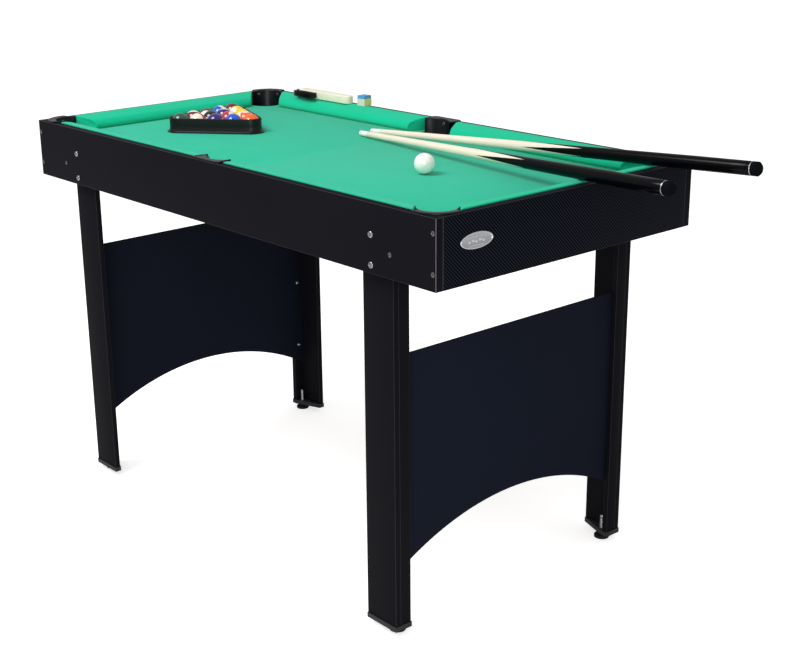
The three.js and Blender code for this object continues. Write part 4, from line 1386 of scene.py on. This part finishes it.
def cue_pieces(body):
    start, stop = axis_of(body)
    length = (stop - start).length
    place = Matrix.Translation(start) @ (stop - start).to_track_quat("Z", "Y").to_matrix().to_4x4()
    tip, ferrule, joint, butt = 5.5 * MM, 5.9 * MM, 9.5 * MM, 12.2 * MM
    mid, thick_from, bumper_from = 0.5 * length, length - 120 * MM, length - 14 * MM
    ring_from, ferrule_to, tip_to = length - 15.4 * MM, 28 * MM, 8 * MM

    def radius(z):
        marks = [(0, tip), (ferrule_to, ferrule), (mid, joint), (thick_from, butt), (length, butt)]
        for (z0, r0), (z1, r1) in zip(marks, marks[1:]):
            if z <= z1:
                return r0 + (r1 - r0) * (z - z0) / (z1 - z0) - 0.15 * MM
        return butt - 0.15 * MM

    def turned(part, levels, finish, caps=(0.0, 0.0)):
        profile = [(0, levels[0]), (radius(levels[0]) - caps[0], levels[0])]
        profile += [(radius(z), z) for z in levels[1:-1]]
        profile += [(radius(levels[-1]) - caps[1], levels[-1]), (0, levels[-1])]
        bm = add_turned(bmesh.new(), profile, 40, place)
        uv_layer = bm.loops.layers.uv["turned"]
        for face in bm.faces:
            for loop in face.loops:
                loop[uv_layer].uv.y = (place.inverted() @ loop.vert.co).z
        nodes = [body] if part == "wood" else []
        piece(f"{body}_{part}", bm, [finish], body, nodes, smooth=35)

    seam = 0.05 * MM
    shaft = [ferrule_to + (ring_from - ferrule_to) * i / 24 for i in range(1, 24)]
    levels = [ferrule_to + seam, ferrule_to + 0.4 * MM, *shaft, ring_from - 0.4 * MM, ring_from]
    turned("wood", levels, cue_finish, (0.2 * MM, 0.2 * MM))
    levels = [0.2 * MM, 1.2 * MM, 2.6 * MM, tip_to - 0.3 * MM, tip_to]
    turned("tip", levels, tip_leather, (2.4 * MM, 0.2 * MM))
    levels = [tip_to + seam, tip_to + 0.4 * MM, ferrule_to - 0.4 * MM, ferrule_to]
    turned("ferrule", levels, ferrule_plastic, (0.3 * MM, 0.1 * MM))
    levels = [ring_from + seam, ring_from + 0.5 * MM, bumper_from - 0.5 * MM, bumper_from]
    turned("ring", levels, zinc, (0.3 * MM, 0.3 * MM))
    rounded = [bumper_from + seam, bumper_from + 1 * MM, length - 4 * MM, length - 0.3 * MM]
    turned("bumper", rounded, bumper_rubber, (0.5 * MM, 3.2 * MM))
    print(f"  {body}: {length:.3f} m long")


for cue in ("cue_front", "cue_back"):
    cue_pieces(cue)

# %% [markdown]
# ## Chalk and brush
# The chalk is a pressed blue cube in a paper sleeve, and the cue tips have worn its top into a hollow.
# A grid pushed down towards its middle makes the hollow, and its rim is drawn down into the cube.

# %% Chalk
chalk_blue = moulded(
    "chalk_blue", rgb(58, 132, 190), rgb(104, 176, 222), 0.9, 1.0, size=0.004, grain_size=0.5 * MM, bump=0.8
)
paper_white = moulded("paper_white", rgb(196, 200, 190), rgb(226, 228, 216), 0.6, 0.75, size=0.004)
paper_yellow = moulded("paper_yellow", rgb(206, 208, 112), rgb(236, 236, 150), 0.6, 0.75, size=0.004)
chalk_low, chalk_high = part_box("chalk")
CHALK_SIZE, SLEEVE, DISH = chalk_high.z - chalk_low.z, 15 * MM, 1.8 * MM
CHALK_TURN = 5  # degrees round its upright axis
chalk_middle = (chalk_low + chalk_high) / 2
chalk_place = Matrix.Translation((chalk_middle.x, chalk_middle.y, chalk_low.z))
chalk_place @= Matrix.Rotation(math.radians(CHALK_TURN), 4, "Z")
half = CHALK_SIZE / 2 - 0.5 * MM
bm = bmesh.new()
top_place = Matrix.Translation((0, 0, CHALK_SIZE - 0.3 * MM))
bmesh.ops.create_grid(bm, x_segments=16, y_segments=16, size=half, matrix=top_place)
for vert in bm.verts:
    worn = max(0.0, 1 - (vert.co.xy.length / (0.92 * half)) ** 2)
    vert.co.z -= DISH * worn
rim = [e for e in bm.edges if e.is_boundary]
dropped = bmesh.ops.extrude_edge_only(bm, edges=rim)
for vert in [v for v in dropped["geom"] if isinstance(v, bmesh.types.BMVert)]:
    vert.co.z = 0.5 * MM
bmesh.ops.holes_fill(bm, edges=[e for e in bm.edges if e.is_boundary])
bmesh.ops.recalc_face_normals(bm, faces=bm.faces)
piece("chalk_cube", put(bm, chalk_place), [chalk_blue], "chalk", ["chalk"])
bm = bmesh.new()
outer, inner = CHALK_SIZE / 2, half + 0.03 * MM
for sign_x, sign_y, finish in ((0, -1, 0), (1, 0, 1), (0, 1, 0), (-1, 0, 1)):
    lo = (-outer, -outer) if sign_y < 0 or sign_x < 0 else ((inner, -outer) if sign_x else (-outer, inner))
    hi = (outer, -inner) if sign_y < 0 else ((outer, outer) if sign_x >= 0 else (-inner, outer))
    before = len(bm.faces)
    if sign_x:
        lo, hi = (lo[0], -inner), (hi[0], inner)
    add_box(bm, (*lo, 0), (*hi, SLEEVE))
    bm.faces.ensure_lookup_table()
    for face in bm.faces[before:]:
        face.material_index = finish
piece("chalk_sleeve", put(bm, chalk_place), [paper_white, paper_yellow], "chalk")
print("chalk", round(CHALK_SIZE, 4))

# %% [markdown]
# The table brush lies on its side on the far rail: a rounded wooden back, and rows of black bristles
# that stand out from its edge and fan round its end. The rows are points with their own directions,
# and the copying tree sets a tapered bristle on each, with a fixed seed for its small tilts.

# %% Brush
brush_low, brush_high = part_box("brush")
BACK_LENGTH, BACK_DEPTH = 170 * MM, 22 * MM
bx, by, bz = brush_high.x - BACK_LENGTH, brush_high.y - BACK_DEPTH, brush_low.z
r = BACK_DEPTH / 2
heel = 4 * MM
outline = [(bx, by), *arc((bx + BACK_LENGTH - r, by + r), r, -90, 90, 16)]
outline += arc((bx + heel, by + BACK_DEPTH - heel), heel, 90, 180, 5)
bm = bmesh.new()
add_prism(bm, outline, bz, brush_high.z)
break_edges(bm, 1.6 * MM, segments=3, highlight_bevels=False)
piece("brush_back", bm, [brush_wood], "brush", ["brush"])

bristle_black = moulded("bristle_black", rgb(10, 10, 11), rgb(22, 22, 24), 0.5, 0.65, size=0.01)
bristle_bm = bmesh.new()
add_turned(bristle_bm, [(0, 0), (0.42 * MM, 0), (0.34 * MM, 0.7), (0.16 * MM, 1.0), (0, 1.0)], 5)
bristle_mesh = bpy.data.meshes.new("bristle")
bristle_bm.to_mesh(bristle_mesh)
bristle_bm.free()
bristle_template = bpy.data.objects.new("bristle_template", bristle_mesh)
ROWS, TUFTS = 9, 60
ROW_FOOT, ROW_RISE = 3.4, 10.2  # millimetres
END_SHARE = 0.12  # the share of the tufts that go round the brush's end
LEAN_OUT, LEAN_BACK = 1.35, 0.12  # radians: at the brush's end, and at its heel
BRISTLES = {"Length": 21 * MM, "Length spread": 2 * MM, "Tilt": 0.09, "Seed": 11, "Turn": FULL_TURN}
places = []
for row in range(ROWS):
    level = bz + (ROW_FOOT + ROW_RISE * row / (ROWS - 1)) * MM
    for tuft in range(TUFTS):
        share = tuft / (TUFTS - 1)
        lean = LEAN_OUT * (1 - share) ** 2.4 - LEAN_BACK * share
        round_end = 12 * MM * (1 - share / END_SHARE) if share < END_SHARE else 0
        root = (bx + 1 * MM + 62 * MM * share, by + 1 * MM + round_end, level)
        places.append((root, (-math.sin(lean), -math.cos(lean), 0)))
set_copies("brush_bristles", bristle_template, places, "brush", bristle_black, "brush_wood", **BRISTLES)

# %% [markdown]
# ## Floor and light
# A plain pale floor and a pale room light everything softly. One large lamp high in front gives the
# cloth its even brightness, and a second one, low and to the right, keeps the black boards readable.
# Black boards need a dim room, and a white background needs a bright one. So the floor glows a little
# and the room is brighter only for what is seen directly, which the Light Path node tells apart.

# %% Floor, room and lamps
FLOOR_GLOW = 0.6  # lifts the floor that is seen to white, as a lit table top does
floor_mesh = bpy.data.meshes.new("floor")
floor_bm = bmesh.new()
bmesh.ops.create_grid(floor_bm, x_segments=2, y_segments=2, size=12)
floor_bm.to_mesh(floor_mesh)
floor_bm.free()
floor = bpy.data.objects.new("floor", floor_mesh)
floor_paint, tree, shader = new_finish("floor_paint", 0.9, specular=0.1)
FLOOR_DARK, FLOOR_PALE = (0.94, 0.94, 0.94), (0.96, 0.96, 0.96)
use_mottle(tree, shader, 2.0, 0.02, FLOOR_DARK, FLOOR_PALE, 0.88, 0.95)
lit = maths(tree, "MULTIPLY", tree.nodes.new("ShaderNodeLightPath").outputs["Is Camera Ray"], FLOOR_GLOW)
tree.links.new(lit, shader.inputs["Emission Strength"])
shader.inputs["Emission Color"].default_value = (1.0, 1.0, 1.0, 1)
floor_mesh.materials.append(floor_paint)
bpy.context.collection.objects.link(floor)

ROOM_LIGHT = 0.5  # what the white room sends onto the table, against the white that is seen
world = bpy.data.worlds.new("room")
world.use_nodes = True
tree = world.node_tree
seen_directly = tree.nodes.new("ShaderNodeLightPath").outputs["Is Camera Ray"]
strength = maths(tree, "MULTIPLY_ADD", seen_directly, 1.0 - ROOM_LIGHT, ROOM_LIGHT)
tree.links.new(strength, tree.nodes["Background"].inputs["Strength"])
tree.nodes["Background"].inputs["Color"].default_value = (1.0, 1.0, 1.0, 1)
bpy.context.scene.world = world


def lamp(name, place, target, size, watts):
    data = bpy.data.lights.new(name, "AREA")
    data.shape, data.size, data.energy = "DISK", size, watts
    made = bpy.data.objects.new(name, data)
    made.location = place
    made.rotation_euler = (Vector(target) - Vector(place)).to_track_quat("-Z", "Y").to_euler()
    bpy.context.collection.objects.link(made)


# Each lamp: where it is, what it faces, its width in metres, and its power in watts.
lamp("key_lamp", (-0.6, -1.6, 3.2), (0, 0, 0.7), 1.6, 66)
lamp("fill_lamp", (2.6, -2.6, 1.6), (0, 0, 0.6), 2.0, 40)
bpy.context.scene.view_settings.view_transform = "Standard"
print("floor, room and 2 lamps")
